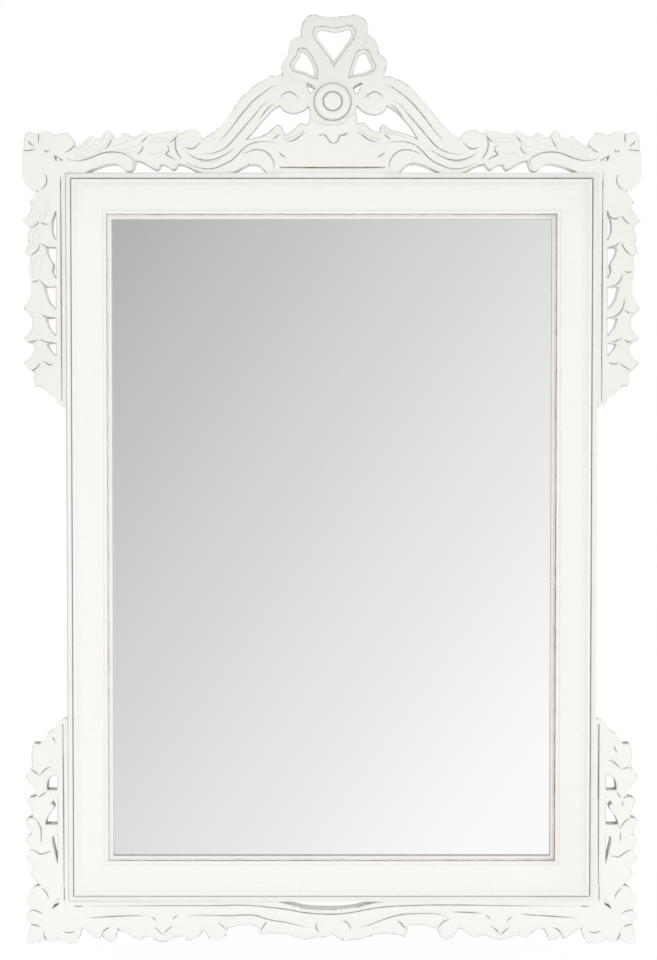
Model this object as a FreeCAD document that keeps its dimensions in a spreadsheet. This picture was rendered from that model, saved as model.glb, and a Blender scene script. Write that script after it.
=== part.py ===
import FreeCAD, Part
import math
import os

import Sketcher
from FreeCAD import Placement, Rotation, Vector

# Wall mirror in a mitred frame with a pierced, carved pediment, side drops and apron.
# Lengths are millimetres. +Z is up, the front faces -Y and the wall is on the +Y side.
# The origin is on the back face of the top rail, in the middle of its length and height.

doc = FreeCAD.newDocument("pediment_mirror")
sheet = doc.addObject("Spreadsheet::Sheet", "sizes")


class Size:
    """A driving size, or a sum of them: its number, and the sheet expression for it."""

    def __init__(self, value, text):
        self.value = float(value)
        self.text = text

    def __float__(self):
        return self.value

    def joined(self, other, sign, swap=False):
        if not isinstance(other, Size):
            other = Size(other, repr(other))
        left, right = (other, self) if swap else (self, other)
        value = {
            "+": left.value + right.value,
            "-": left.value - right.value,
            "*": left.value * right.value,
            "/": left.value / right.value if right.value else 0.0,
        }[sign]
        return Size(value, f"({left.text} {sign} {right.text})")

    def __add__(self, other):
        return self.joined(other, "+")

    def __radd__(self, other):
        return self.joined(other, "+", swap=True)

    def __sub__(self, other):
        return self.joined(other, "-")

    def __rsub__(self, other):
        return self.joined(other, "-", swap=True)

    def __mul__(self, other):
        return self.joined(other, "*")

    def __rmul__(self, other):
        return self.joined(other, "*", swap=True)

    def __truediv__(self, other):
        return self.joined(other, "/")

    def __neg__(self):
        return self.joined(-1, "*")


next_row = 1


def size(name, value):
    """Put a driving size in the next row of the sheet and hand back its Size."""
    global next_row
    sheet.set(f"A{next_row}", name)
    sheet.set(f"B{next_row}", str(value))
    sheet.setAlias(f"B{next_row}", name)
    next_row += 1
    return Size(value, f"sizes.{name}")


# Glass opening and rail section, measured inwards from the outer edge and forwards from the back
sight_width = size("sight_width", 564)
sight_height = size("sight_height", 820)
rail_width = size("rail_width", 58)
strip_width = size("strip_width", 6.4)
strip_thickness = size("strip_thickness", 20)
vee_width = size("vee_width", 2)
vee_depth = size("vee_depth", 3)
ridge_width = size("ridge_width", 5)
ridge_shoulder = size("ridge_shoulder", 23)
ridge_radius = size("ridge_radius", 2.7)
cove_width = size("cove_width", 9)
cove_radius = size("cove_radius", 12)
field_outer_thickness = size("field_outer_thickness", 19.6)
field_inner_thickness = size("field_inner_thickness", 18)
step_width = size("step_width", 2)
step_drop = size("step_drop", 2)
hump_width = size("hump_width", 4)
hump_radius = size("hump_radius", 2.6)
quirk_width = size("quirk_width", 2)
quirk_depth = size("quirk_depth", 3)
bead_width = size("bead_width", 4)
bead_radius = size("bead_radius", 2.4)
bead_shoulder = size("bead_shoulder", 13)
glass_rebate_width = size("glass_rebate_width", 7)
glass_rebate_depth = size("glass_rebate_depth", 9)
board_rebate_width = size("board_rebate_width", 10)
board_rebate_depth = size("board_rebate_depth", 3.5)
overrun = size("overrun", 5)

# Tongues across the mitres
tongue_length = size("tongue_length", 24)
tongue_width = size("tongue_width", 20)
tongue_thickness = size("tongue_thickness", 4)
tongue_back = size("tongue_back", 7)
tongue_inset = size("tongue_inset", 20)
glue_gap = size("glue_gap", 0.15)

# Looking glass, its blocks and shims, and the backing board with its screws
pane_thickness = size("pane_thickness", 4)
pane_gap = size("pane_gap", 3)
board_thickness = size("board_thickness", 3.2)
board_gap = size("board_gap", 1)
block_length = size("block_length", 30)
block_inset = size("block_inset", 110)
seat_gap = size("seat_gap", 0.2)
board_screw_length = size("board_screw_length", 12)
board_screw_radius = size("board_screw_radius", 1.5)
board_screw_point = size("board_screw_point", 3)
board_screw_head_radius = size("board_screw_head_radius", 3.2)
board_screw_head_height = size("board_screw_head_height", 1.9)
screw_clearance = size("screw_clearance", 0.2)

# Carvings round the frame
carving_thickness = size("carving_thickness", 18)
crest_height = size("crest_height", 200)
crest_width = size("crest_width", 384)
side_reach = size("side_reach", 55)
upper_drop_length = size("upper_drop_length", 300)
lower_drop_length = size("lower_drop_length", 237)
apron_depth = size("apron_depth", 55)
line_width = size("line_width", 1.7)
line_depth = size("line_depth", 3)
hole_splay = size("hole_splay", 4.2)
hole_lean = size("hole_lean", 2.2)
hole_overrun = size("hole_overrun", 0.2)
volute_radius = size("volute_radius", 13.5)
volute_rise = size("volute_rise", 3)
knob_radius = size("knob_radius", 11)
knob_rise = size("knob_rise", 3)
ball_radius = size("ball_radius", 13)
lower_ball_radius = size("lower_ball_radius", 11.75)
ball_rise = size("ball_rise", 2.5)
raised_taper = size("raised_taper", 2.5)
boss_radius = size("boss_radius", 23.4)
boss_height = size("boss_height", 8)
dowel_radius = size("dowel_radius", 3)
dowel_length = size("dowel_length", 24)

# Strap hangers on the back of the stiles, and wall bumpers
hanger_drop = size("hanger_drop", 230)
hanger_inset = size("hanger_inset", 19)
strap_width = size("strap_width", 16)
strap_length = size("strap_length", 54)
strap_thickness = size("strap_thickness", 1.5)
ring_wire_radius = size("ring_wire_radius", 1.5)
ring_clearance = size("ring_clearance", 0.08)
ring_inner_width = size("ring_inner_width", 22)
ring_corner_radius = size("ring_corner_radius", 3.5)
ring_leg = size("ring_leg", 5)
strap_screw_first = size("strap_screw_first", 30)
strap_screw_second = size("strap_screw_second", 44)
strap_screw_radius = size("strap_screw_radius", 1.9)
strap_screw_point = size("strap_screw_point", 3.8)
strap_screw_head_radius = size("strap_screw_head_radius", 3.6)
strap_screw_head_height = size("strap_screw_head_height", 1.6)
strap_screw_length = size("strap_screw_length", 15)
bumper_radius = size("bumper_radius", 6.5)
bumper_face_radius = size("bumper_face_radius", 5)
bumper_height = size("bumper_height", 5)
bumper_inset = size("bumper_inset", 19)
doc.recompute()

zero = Size(0, "0")
frame_width = sight_width + 2 * rail_width
frame_height = sight_height + 2 * rail_width
frame_top = rail_width / 2
frame_middle = frame_top - frame_height / 2
frame_bottom = frame_top - frame_height

finished = {}


def bind(part, **values):
    """Bind properties to sheet expressions; a double underscore stands for a dot."""
    for path, value in values.items():
        part.setExpression(path.replace("__", "."), value.text if isinstance(value, Size) else repr(value))


def place(part, x=0, y=0, z=0, turn=None, about=Vector(0, 1, 0)):
    """Give a part its position by expression, turned about an axis first."""
    if turn is not None:
        part.Placement = Placement(Vector(), Rotation(about, turn))
    for axis, value in zip("xyz", (x, y, z)):
        if isinstance(value, Size):
            part.setExpression(f"Placement.Base.{axis}", value.text)
        elif value:
            part.setExpression(f"Placement.Base.{axis}", repr(value))


def new(kind, name):
    made = doc.addObject(kind, name)
    made.Label = name
    return made


def body(name):
    return new("PartDesign::Body", name)


def plane(owner, role):
    return next(item for item in owner.Origin.OriginFeatures if item.Role == role)


def sketch(owner, name, role, loops=(), circles=(), arcs=None):
    """Draw closed loops of corner points and circles, each held to its sizes.

    arcs maps the number of an edge of the first loop to the radius and the side of a round one.
    """
    drawn = owner.newObject("Sketcher::SketchObject", name)
    drawn.AttachmentSupport = [(plane(owner, role), "")]
    drawn.MapMode = "FlatFace"
    arcs = arcs or {}
    for number, corners in enumerate(loops):
        points = [Vector(float(x), float(y), 0) for x, y in corners]
        first = drawn.GeometryCount
        for index, start in enumerate(points):
            end = points[(index + 1) % len(points)]
            if number == 0 and index in arcs:
                radius, side = arcs[index]
                drawn.addGeometry(round_edge(start, end, float(radius), side), False)
            else:
                drawn.addGeometry(Part.LineSegment(start, end), False)
        hold_corners(drawn, first, corners, arcs if number == 0 else {})
    for x, y, radius in circles:
        middle = Vector(float(x), float(y), 0)
        drawn.addGeometry(Part.Circle(middle, Vector(0, 0, 1), float(radius)), False)
        index = drawn.GeometryCount - 1
        hold(drawn, "Radius", radius, index)
        hold(drawn, "DistanceX", x, -1, 1, index, 3)
        hold(drawn, "DistanceY", y, -1, 1, index, 3)
    return drawn


def round_edge(start, end, radius, side):
    """The arc between two corners, bulging to the left (1) or the right (-1) of the way along."""
    across = Vector(0, 0, 1).cross(end - start).normalize() * side
    sagitta = radius - math.sqrt(max(radius ** 2 - ((end - start).Length / 2) ** 2, 0))
    centre = (start + end) / 2 - across * (radius - sagitta)
    first, last = (end, start) if side > 0 else (start, end)
    angles = [math.atan2(point.y - centre.y, point.x - centre.x) for point in (first, last)]
    return Part.ArcOfCircle(Part.Circle(centre, Vector(0, 0, 1), radius), *angles)


def hold(drawn, kind, value, *where):
    """Add one dimension to a sketch and bind it to its size."""
    number = drawn.addConstraint(Sketcher.Constraint(kind, *where, float(value)))
    if isinstance(value, Size):
        drawn.setExpression(f"Constraints[{number}]", value.text)


def hold_corners(drawn, first, corners, arcs):
    """Join the edges of a loop end to end and hold every corner to its place."""
    count = len(corners)
    ends = []
    for index in range(count):
        edge = drawn.Geometry[first + index]
        start = Vector(float(corners[index][0]), float(corners[index][1]), 0)
        begins = 1 if (edge.StartPoint - start).Length < (edge.EndPoint - start).Length else 2
        ends.append((begins, 3 - begins))
    for index in range(count):
        after = (index + 1) % count
        drawn.addConstraint(
            Sketcher.Constraint("Coincident", first + index, ends[index][1], first + after, ends[after][0])
        )
    for index, (x, y) in enumerate(corners):
        hold(drawn, "DistanceX", x, -1, 1, first + index, ends[index][0])
        hold(drawn, "DistanceY", y, -1, 1, first + index, ends[index][0])
    for index, (radius, side) in arcs.items():
        hold(drawn, "Radius", radius, first + index)


def feature(owner, kind, name, profile, length=None, both_sides=False, through=False, back=False):
    """Pad or pocket a sketch of a body."""
    made = owner.newObject(f"PartDesign::{kind}", name)
    made.Profile = profile
    if through:
        made.Type = "ThroughAll"
    if length is not None:
        made.setExpression("Length", length.text)
    if both_sides:
        made.SideType = "Symmetric"
    made.Reversed = back
    profile.Visibility = False
    return made


def finish(name, part):
    """Record a finished piece under the name that it is written out with."""
    part.Label = name
    finished[name] = part
    return part


def joined(kind, name, base, tool):
    made = new(kind, name)
    made.Base = base
    made.Tool = tool
    return made


def gathered(name, parts, kind="Part::Compound"):
    made = new(kind, name)
    if kind == "Part::Compound":
        made.Links = parts
    else:
        made.Shapes = parts
    return made


def copies(name, master, places):
    """A group of like loose pieces: copies of one master piece set at the given placements."""
    doc.recompute()
    group = new("Part::Feature", name)
    solids = []
    for spot in places:
        solid = master.Shape.copy()
        solid.Placement = spot.multiply(solid.Placement)
        solids.append(solid)
    group.Shape = Part.makeCompound(solids)
    return group


# Readings from the photograph, in its pixels, which the carvings' outlines are drawn in
middle_px = 331.7
crest_joint_px = 181.0
upper_edge_px = 66.0
lower_edge_px = 68.0
upper_reach_px = 22.5
lower_reach_px = 26.0
crest_top_px = 14.3
frame_top_px = 172.5
upper_drop_end_px = 408.0
lower_drop_end_px = 719.0
frame_bottom_px = 902.0
apron_bottom_px = 944.5


def along(reading, readings, lengths):
    """Turn a reading into a length by straight shares between known readings."""
    index = 0
    while index < len(readings) - 2 and reading > readings[index + 1]:
        index += 1
    share = (reading - readings[index]) / (readings[index + 1] - readings[index])
    low, high = float(lengths[index]), float(lengths[index + 1])
    return low + share * (high - low)


def upper(x, y, depth=0.0):
    """The place of a point of the carvings above and beside the upper part of the frame."""
    side = -1 if x < middle_px else 1
    out = middle_px - abs(x - middle_px)
    across = along(
        out,
        (upper_reach_px, upper_edge_px, crest_joint_px, middle_px),
        (frame_width / 2 + side_reach, frame_width / 2, crest_width / 2, 0),
    )
    height = along(
        y,
        (crest_top_px, frame_top_px, upper_drop_end_px),
        (frame_top + crest_height, frame_top, frame_top - upper_drop_length),
    )
    return Vector(side * across, depth, height)


def lower(x, y, depth=0.0):
    """The place of a point of the carvings below and beside the lower part of the frame."""
    side = -1 if x < middle_px else 1
    out = middle_px - abs(x - middle_px)
    across = along(
        out,
        (lower_reach_px, lower_edge_px, middle_px),
        (frame_width / 2 + side_reach, frame_width / 2, 0),
    )
    height = along(
        y,
        (lower_drop_end_px, frame_bottom_px, apron_bottom_px),
        (frame_bottom + lower_drop_length, frame_bottom, frame_bottom - apron_depth),
    )
    return Vector(side * across, depth, height)


def smooth(points):
    """One smooth edge through the points, or a straight one between two."""
    if len(points) == 2:
        return Part.makeLine(points[0], points[1])
    curve = Part.BSplineCurve()
    curve.interpolate(points)
    return curve.toShape()


def closed(runs):
    """A closed wire: each run of points is one smooth edge, and the runs meet in corners."""
    edges = []
    for index, run in enumerate(runs):
        onwards = runs[(index + 1) % len(runs)][0]
        edges.append(smooth([*run, onwards]))
    return Part.Wire(edges)


# How quickly a carved line widens from its pointed ends
taper_share = 0.4


def line_strip(where, points):
    """The face of a carved line: a narrow leaf shape along a path, pointed at both ends."""
    path = smooth([where(x, y) for x, y in points]).Curve
    ends = [path.parameter(where(*points[0])), path.parameter(where(*points[-1]))]
    stations = max(3, 2 * len(points) - 1)
    left, right = [], []
    for step in range(stations):
        share = step / (stations - 1)
        at = ends[0] + share * (ends[1] - ends[0])
        here = path.value(at)
        ahead = path.tangent(at)[0]
        across = Vector(-ahead.z, 0, ahead.x)
        swell = math.sin(math.pi * share) ** taper_share
        left.append(here + across * (swell * float(line_width) / 2))
        right.append(here - across * (swell * float(line_width) / 2))
    right.reverse()
    right[0], right[-1] = left[-1], left[0]
    return Part.Face(Part.Wire([smooth(left), smooth(right)]))


def outline(where, runs):
    """The closed wire through runs of readings."""
    return closed([[where(x, y) for x, y in run] for run in runs])


def leaning_hole(name, where, runs, splay):
    """What a piercing takes out: its walls lean up to the back, and close in there by the splay."""
    points = [where(x, y) for run in runs for x, y in run]
    area = sum(a.x * b.z - b.x * a.z for a, b in zip(points, [*points[1:], points[0]]))
    sections = []
    for end, forwards in (("front", carving_thickness + hole_overrun), ("back", -hole_overrun)):
        share = 1 - float(forwards) / float(carving_thickness)
        lean = Vector(0, -float(forwards), share * float(hole_lean))
        moved = []
        for index, point in enumerate(points):
            before = point - points[index - 1]
            onwards = points[(index + 1) % len(points)] - point
            first = Vector(-before.z, 0, before.x) * math.copysign(1 / before.Length, area)
            second = Vector(-onwards.z, 0, onwards.x) * math.copysign(1 / onwards.Length, area)
            mitre = (first + second) / (1 + first.dot(second))
            moved.append(point + mitre * (share * float(splay)) + lean)
        rest = iter(moved)
        drawing = new("Part::Feature", f"{name}_{end}")
        drawing.Shape = closed([[next(rest) for _ in run] for run in runs])
        sections.append(drawing)
    made = new("Part::Loft", name)
    made.Sections = sections
    made.Solid = True
    made.Ruled = True
    return made


def carving(name, where, rim, holes=(), lines=(), raised=(), leaning=()):
    """A pierced board with carved lines on its face and low round forms left standing."""
    shape = Part.Face([outline(where, rim), *[outline(where, hole) for hole in holes]])
    shape.validate()
    drawing = new("Part::Feature", f"{name}_outline")
    drawing.Shape = shape
    board = extruded(f"{name}_board", drawing, carving_thickness)
    if raised:
        board = gathered(f"{name}_with_raised_forms", [board, *raised], "Part::MultiFuse")
    if leaning:
        board = joined("Part::Cut", f"{name}_pierced", board, gathered(f"{name}_piercings", leaning))
    marks = new("Part::Feature", f"{name}_line_faces")
    marks.Shape = Part.makeCompound([line_strip(where, points) for points in lines])
    knives = extruded(f"{name}_line_knives", marks, line_depth + volute_rise + overrun)
    place(knives, y=-(carving_thickness - line_depth))
    return joined("Part::Cut", f"{name}_carved", board, knives)


def extruded(name, drawing, length):
    made = new("Part::Extrusion", name)
    made.Base = drawing
    made.DirMode = "Custom"
    made.Dir = Vector(0, -1, 0)
    made.Solid = True
    made.setExpression("LengthFwd", length.text)
    return made


def low_cone(name, spot, radius, rise):
    """A low round form with sloping sides, standing on the face of a carving."""
    made = new("Part::Cone", name)
    made.Placement = Placement(spot, Rotation(Vector(1, 0, 0), 90))
    bind(made, Radius1=radius, Radius2=radius - raised_taper, Height=carving_thickness + rise)
    return made


def turned_over(name, source):
    """The right-hand piece, the mirror image of a left-hand one."""
    made = new("Part::Mirroring", name)
    made.Source = source
    made.Base = Vector(0, 0, 0)
    made.Normal = Vector(1, 0, 0)
    return made


def flipped(runs):
    """The same readings on the other side of the middle."""
    return [[(2 * middle_px - x, y) for x, y in run] for run in runs]


def flipped_each(outlines):
    """The same for a list of outlines."""
    return [flipped(runs) for runs in outlines]


# Dowels between the carvings and the rails. Each is named by the pieces that it joins, and
# stands at a reading on their joint, pointing along X or Z
upper_dowels = [
    ("stile", "drop", 66.0, 200.0, "x"),
    ("stile", "drop", 66.0, 282.0, "x"),
    ("stile", "drop", 66.0, 372.0, "x"),
    ("rosette", "drop", 54.0, 190.6, "z"),
    ("rosette", "wing", 75.5, 165.5, "x"),
    ("wing", "crest", 181.0, 151.0, "x"),
    ("rail", "crest", 217.0, 172.5, "z"),
    ("rail", "crest", 296.0, 172.5, "z"),
]
lower_dowels = [
    ("stile", "drop", 68.0, 765.0, "x"),
    ("stile", "drop", 68.0, 831.0, "x"),
    ("stile", "drop", 68.0, 878.0, "x"),
    ("rosette", "drop", 53.0, 886.5, "z"),
    ("rosette", "apron", 82.0, 914.5, "x"),
    ("rail", "apron", 150.0, 902.0, "z"),
    ("rail", "apron", 245.0, 902.0, "z"),
]


def dowel_spot(where, reading, side):
    """The placement of a dowel lying across its joint, on the left (-1) or right (1) side."""
    x, y, direction = reading[2:]
    middle = where(x, y, -float(carving_thickness) / 2)
    middle.x = abs(middle.x) * side
    turn = Rotation(Vector(0, 1, 0), 90) if direction == "x" else Rotation()
    return Placement(middle, turn)


def drilled(name, part, spots, more=()):
    """Cut dowel holes, and any other pockets, out of a piece."""
    tools = list(more)
    for number, spot in enumerate(spots):
        hole = new("Part::Cylinder", f"{name}_dowel_hole_{number + 1}")
        length = dowel_length + 2 * glue_gap
        bind(hole, Radius=dowel_radius + glue_gap, Height=length)
        hole.Placement = spot.multiply(Placement(Vector(0, 0, -float(length) / 2), Rotation()))
        tools.append(hole)
    return finish(name, joined("Part::Cut", name, part, gathered(f"{name}_holes", tools)))


# Rails of the frame. Drawn lying along X with the outer edge at Z = 0, and turned into place
def at(inwards, forwards):
    """A corner of the rail's section: distance in from the outer edge, and out from the back."""
    return (-forwards, -inwards)


ridge_from = strip_width + vee_width
cove_from = ridge_from + ridge_width
bead_from = rail_width - bead_width
quirk_from = bead_from - quirk_width
hump_from = quirk_from - hump_width
step_from = hump_from - step_width
hump_thickness = field_inner_thickness - step_drop
rail_section = [
    at(zero, zero),
    at(zero, strip_thickness),
    at(strip_width, strip_thickness),
    at(strip_width + vee_width / 2, strip_thickness - vee_depth),
    at(ridge_from, ridge_shoulder),
    at(cove_from, ridge_shoulder),
    at(cove_from + cove_width, field_outer_thickness),
    at(step_from, field_inner_thickness),
    at(hump_from, hump_thickness),
    at(quirk_from, hump_thickness),
    at(quirk_from + quirk_width / 2, hump_thickness - quirk_depth),
    at(bead_from, bead_shoulder),
    at(rail_width, bead_shoulder),
    at(rail_width, glass_rebate_depth),
    at(rail_width - glass_rebate_width, glass_rebate_depth),
    at(rail_width - glass_rebate_width, board_rebate_depth),
    at(rail_width - glass_rebate_width - board_rebate_width, board_rebate_depth),
    at(rail_width - glass_rebate_width - board_rebate_width, zero),
]
rail_arcs = {4: (ridge_radius, -1), 5: (cove_radius, 1), 8: (hump_radius, -1), 11: (bead_radius, -1)}

# Screws of the backing board stand at these shares of each rail's half length
long_screw_shares = (-0.62, -0.2, 0.2, 0.62)
short_screw_shares = (-0.5, 0.0, 0.5)
board_screw_inset = rail_width - glass_rebate_width - board_rebate_width / 2


def rail(name, length, screw_shares, strap_holes=()):
    """One mitred rail of the frame moulding, with the pilot holes for its screws."""
    owner = body(name + "_moulding")
    section = sketch(owner, name + "_section", "YZ_Plane", [rail_section], arcs=rail_arcs)
    feature(owner, "Pad", name + "_length", section, length, both_sides=True)
    past = rail_width + overrun
    mitres = []
    for side in (-1, 1):
        end = side * length / 2
        mitres.append([
            (end + side * overrun, overrun),
            (end - side * past, -past),
            (end + side * overrun, -past),
        ])
    ends = sketch(owner, name + "_mitre_lines", "XZ_Plane", mitres)
    feature(owner, "Pocket", name + "_mitres", ends, through=True, both_sides=True)
    pilots = [(share * length / 2, -board_screw_inset, board_screw_radius) for share in screw_shares]
    holes = sketch(owner, name + "_board_pilots", "XZ_Plane", circles=pilots)
    depth = board_screw_length + board_rebate_depth - board_thickness + seat_gap
    feature(owner, "Pocket", name + "_board_pilot_holes", holes, depth, back=True)
    if strap_holes:
        spots = [(x, -hanger_inset, strap_screw_radius) for x in strap_holes]
        holes = sketch(owner, name + "_strap_pilots", "XZ_Plane", circles=spots)
        depth = strap_screw_length - strap_thickness + seat_gap
        feature(owner, "Pocket", name + "_strap_pilot_holes", holes, depth, back=True)
    return owner


strap_top = frame_height / 2 - hanger_drop
strap_holes = [strap_top - strap_screw_first, strap_top - strap_screw_second]
rails = {
    "top_rail": rail("top_rail", frame_width, short_screw_shares),
    "bottom_rail": rail("bottom_rail", frame_width, short_screw_shares),
    "left_stile": rail("left_stile", frame_height, long_screw_shares, strap_holes),
    "right_stile": rail("right_stile", frame_height, long_screw_shares, [-x for x in strap_holes]),
}
place(rails["top_rail"], z=frame_top)
place(rails["bottom_rail"], z=frame_bottom, turn=180)
place(rails["left_stile"], x=-frame_width / 2, z=frame_middle, turn=-90)
place(rails["right_stile"], x=frame_width / 2, z=frame_middle, turn=90)


def corner_tongue(name, across, up, gap):
    """A flat tongue, or with a gap its slot, lying across the mitre of one corner."""
    made = new("Part::Box", name)
    thickness = tongue_thickness + 2 * gap
    bind(made, Length=tongue_length + 2 * gap, Width=thickness, Height=tongue_width + 2 * gap)
    turn = Rotation(Vector(0, 1, 0), -45 * across * up)
    corner = Vector(across * float(frame_width) / 2, 0, float(frame_middle) + up * float(frame_height) / 2)
    inwards = Vector(-across, 0, -up) * float(tongue_inset)
    half = Vector(float(tongue_length) / 2 + gap.value, 0, float(tongue_width) / 2 + gap.value)
    back = Vector(0, -float(tongue_back) - float(tongue_thickness) - gap.value, 0)
    made.Placement = Placement(corner + inwards + back - turn.multVec(half), turn)
    return made


corners = {"upper_left": (-1, 1), "upper_right": (1, 1), "lower_left": (-1, -1), "lower_right": (1, -1)}
rail_corners = {
    "top_rail": ("upper_left", "upper_right"),
    "bottom_rail": ("lower_left", "lower_right"),
    "left_stile": ("upper_left", "lower_left"),
    "right_stile": ("upper_right", "lower_right"),
}


def spots_for(piece, sides=(-1, 1)):
    """Placements of every dowel that enters a piece, on the given sides."""
    found = []
    for where, readings in ((upper, upper_dowels), (lower, lower_dowels)):
        zone = "upper" if where is upper else "lower"
        for reading in readings:
            if any(f"{zone}_{name}" == piece for name in reading[:2]):
                found += [dowel_spot(where, reading, side) for side in sides]
    return found


for name, owner in rails.items():
    slots = []
    for corner in rail_corners[name]:
        slots.append(corner_tongue(f"{name}_{corner}_slot", *corners[corner], glue_gap))
    spots = {
        "top_rail": spots_for("upper_rail"),
        "bottom_rail": spots_for("lower_rail"),
        "left_stile": spots_for("upper_stile", [-1]) + spots_for("lower_stile", [-1]),
        "right_stile": spots_for("upper_stile", [1]) + spots_for("lower_stile", [1]),
    }[name]
    drilled(name, owner, spots, slots)
tongues = [corner_tongue(f"{corner}_tongue", *signs, zero) for corner, signs in corners.items()]
finish("mitre_tongues", gathered("mitre_tongues", tongues))

dowel = new("Part::Cylinder", "dowel_pattern")
bind(dowel, Radius=dowel_radius, Height=dowel_length)
place(dowel, z=-dowel_length / 2)
every_spot = []
for where, readings in ((upper, upper_dowels), (lower, lower_dowels)):
    for reading in readings:
        every_spot += [dowel_spot(where, reading, side) for side in (-1, 1)]
finish("carving_dowels", copies("carving_dowels", dowel, every_spot))


# Crest: ribbon bow over a boss, on a pedestal between two fluted scrolls
crest_rim = [
    [(181, 164.3)],
    [(181, 132.6), (182, 132), (185.5, 130.5), (191, 128.3), (198, 130.4), (201.6, 135)],
    [
        (202.7, 139), (207, 136), (214, 131.5), (220, 126.2), (226, 119.2), (232, 110.4), (240, 99),
        (248.3, 90.4), (258.3, 82.5), (268, 76.8), (276, 74.8),
    ],
    [(283, 74.5), (282, 65), (284.5, 60), (288, 52), (289, 46), (292, 39.5), (297, 36.5)],
    [
        (301.5, 35.5), (301, 28), (302.5, 22.5), (305.5, 18), (310, 15), (315, 14.3), (322, 15.7),
        (333, 16.2), (343, 15.7), (350, 14.5), (356, 14.3), (361, 16.5), (366, 21.5), (368, 27),
    ],
    [(367.5, 33.5), (371, 35.7), (375.5, 40.5), (378, 46)],
    [(378, 51), (382.5, 55.5), (386.5, 60.5), (386.5, 66.5), (384.5, 71)],
    [
        (384, 75), (393, 77), (402, 81), (412, 88.6), (422, 99.3), (430.7, 109.3), (440, 120.7), (450, 131),
    ],
    [(460.7, 138.5), (462, 134.5), (466, 130.8), (472.5, 128.9), (478.5, 131)],
    [(482.4, 133.2)],
    [(482.4, 164.3), (477, 165.5), (470, 169)],
    [(461, 172.5)],
    [(440, 172.5), (428.6, 167), (418.6, 163.6), (409.3, 163.6), (403, 168.6)],
    [(400, 172.5)],
    [(265.7, 172.5), (263, 168.6), (258.6, 164.7), (253, 163.6), (247, 165), (240, 168.6)],
    [(231, 172.5)],
    [(203, 172.5), (200, 172), (192, 168.6), (184.3, 165)],
]
heart_hole = [
    (333.8, 66), (326.5, 53.8), (318, 42.5), (314.3, 36.7), (313.6, 33), (314.5, 28.5), (318.5, 26),
    (325, 26), (333, 27.3), (342, 26.5), (349, 25), (353.8, 28), (355.2, 33), (353, 38.5), (346.5, 47.5),
    (340, 56.5),
]
left_loop_hole = [
    (317.5, 78.6), (310, 76.4), (304, 73.5), (297, 71.6), (292, 69), (290.8, 65), (293, 59.4),
    (296.5, 53.8), (298.5, 48.5), (302, 47.5), (306.5, 49.4), (311.6, 55.6), (315.6, 63), (317.3, 70),
]
right_loop_hole = [
    (348.5, 77.5), (350.6, 68.8), (353.6, 59.2), (356, 53.5), (360, 49.8), (363.5, 49), (368.5, 50.2),
    (370.6, 55), (373.6, 61.2), (375.2, 66.2), (373, 70.4), (368.5, 73), (360, 75.2),
]
left_gap_by_boss = [[(307, 85)], [(314.3, 88), (312.2, 91.2)], [(309.6, 91.7)]]
right_gap_by_boss = [[(353.6, 88)], [(361.4, 83.3), (359.5, 88.5)], [(357, 93)], [(355.4, 92)]]
left_gap_under_scroll = [
    [(246.4, 138.6), (254.3, 130.7), (261.4, 122), (268.6, 114.3), (275.7, 107.6)],
    [(280, 105.7), (284.3, 110.7), (293.6, 113.3), (301.4, 111.4)],
    [(308.4, 106.6), (309.8, 113), (309.5, 118)],
    [(308, 123.6), (304.3, 123.6)],
    [(300.7, 122.4), (298.6, 124.3), (294.3, 128.6), (288.6, 133)],
    [(284.3, 134.3), (283.3, 130.7), (281.4, 126.4)],
    [(277.4, 124.3), (274.3, 126.4), (268.6, 131.4), (258.6, 136.4)],
]
right_gap_under_scroll = [
    [(417.4, 139), (411.4, 128.6), (404.3, 120), (395.7, 111.4)],
    [(387, 105.7), (381.4, 113), (373, 114.6), (361.4, 110)],
    [(357.3, 105.6), (356.2, 110), (356.4, 115.7)],
    [(357, 123)],
    [(364.3, 122), (368.6, 127), (375.7, 131.4)],
    [(380, 131.4), (382, 125)],
    [(384.3, 124), (390, 128.6), (398.6, 131.4), (410, 135)],
]
scroll_lines = [
    [
        (280.7, 84.3), (273, 85.7), (264.3, 91.4), (254.3, 99.3), (245.7, 108.6), (237, 119.3),
        (228.6, 130.7), (218, 140.7),
    ],
    [
        (270, 100), (263, 104.3), (255.7, 113), (247, 123), (238.6, 133), (231.4, 141.4), (224.3, 148),
        (215.7, 151.7), (207, 153.6), (200.3, 153.6),
    ],
    [(274.3, 103), (268.6, 107), (263, 113.6), (258.6, 119.3)],
    [
        (235.7, 146.5), (228.6, 151.8), (220, 156.6), (211.4, 159.3), (207, 159.7), (198.6, 158.6),
        (191.4, 155.7), (185, 150),
    ],
    [(280.3, 98.6), (283, 93.6), (289.3, 91.1), (295, 94), (299.3, 98.6)],
    [(183.6, 146), (188, 148), (192, 148.2), (197, 145), (200.7, 140.7)],
    [
        (183, 160), (188.6, 163.6), (200, 167.6), (211.4, 168.3), (223, 164.3), (233, 158.6),
        (240, 151.5), (245.7, 146.2), (254.3, 142), (263, 141), (273, 141.4), (279.3, 143),
    ],
    [
        (241.4, 154.8), (248.6, 150.9), (258.6, 149.2), (265.7, 151.4), (271.4, 157), (274, 163),
        (271.4, 170.7),
    ],
    [(284.3, 140), (294.3, 139.3), (301.4, 134.3), (307, 130.7)],
    [(272, 138.6), (276.5, 136), (279.5, 132.6)],
    [(278.6, 150.7), (281.4, 154.3), (287, 156.4)],
]
crest_lines = [
    *scroll_lines,
    *flipped(scroll_lines),
    [(304.3, 81.7), (310, 84), (315.3, 87.4)],
    [(352, 88), (357, 84.4), (363.6, 82)],
    [(279, 167), (331, 167.4), (386, 167)],
    [(319, 134.3), (325.7, 135.3), (328, 138.6), (333, 142.4)],
    [(333.6, 142.2), (338.6, 138.6), (340, 135), (345, 134.3), (347.5, 132.2)],
]
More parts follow.
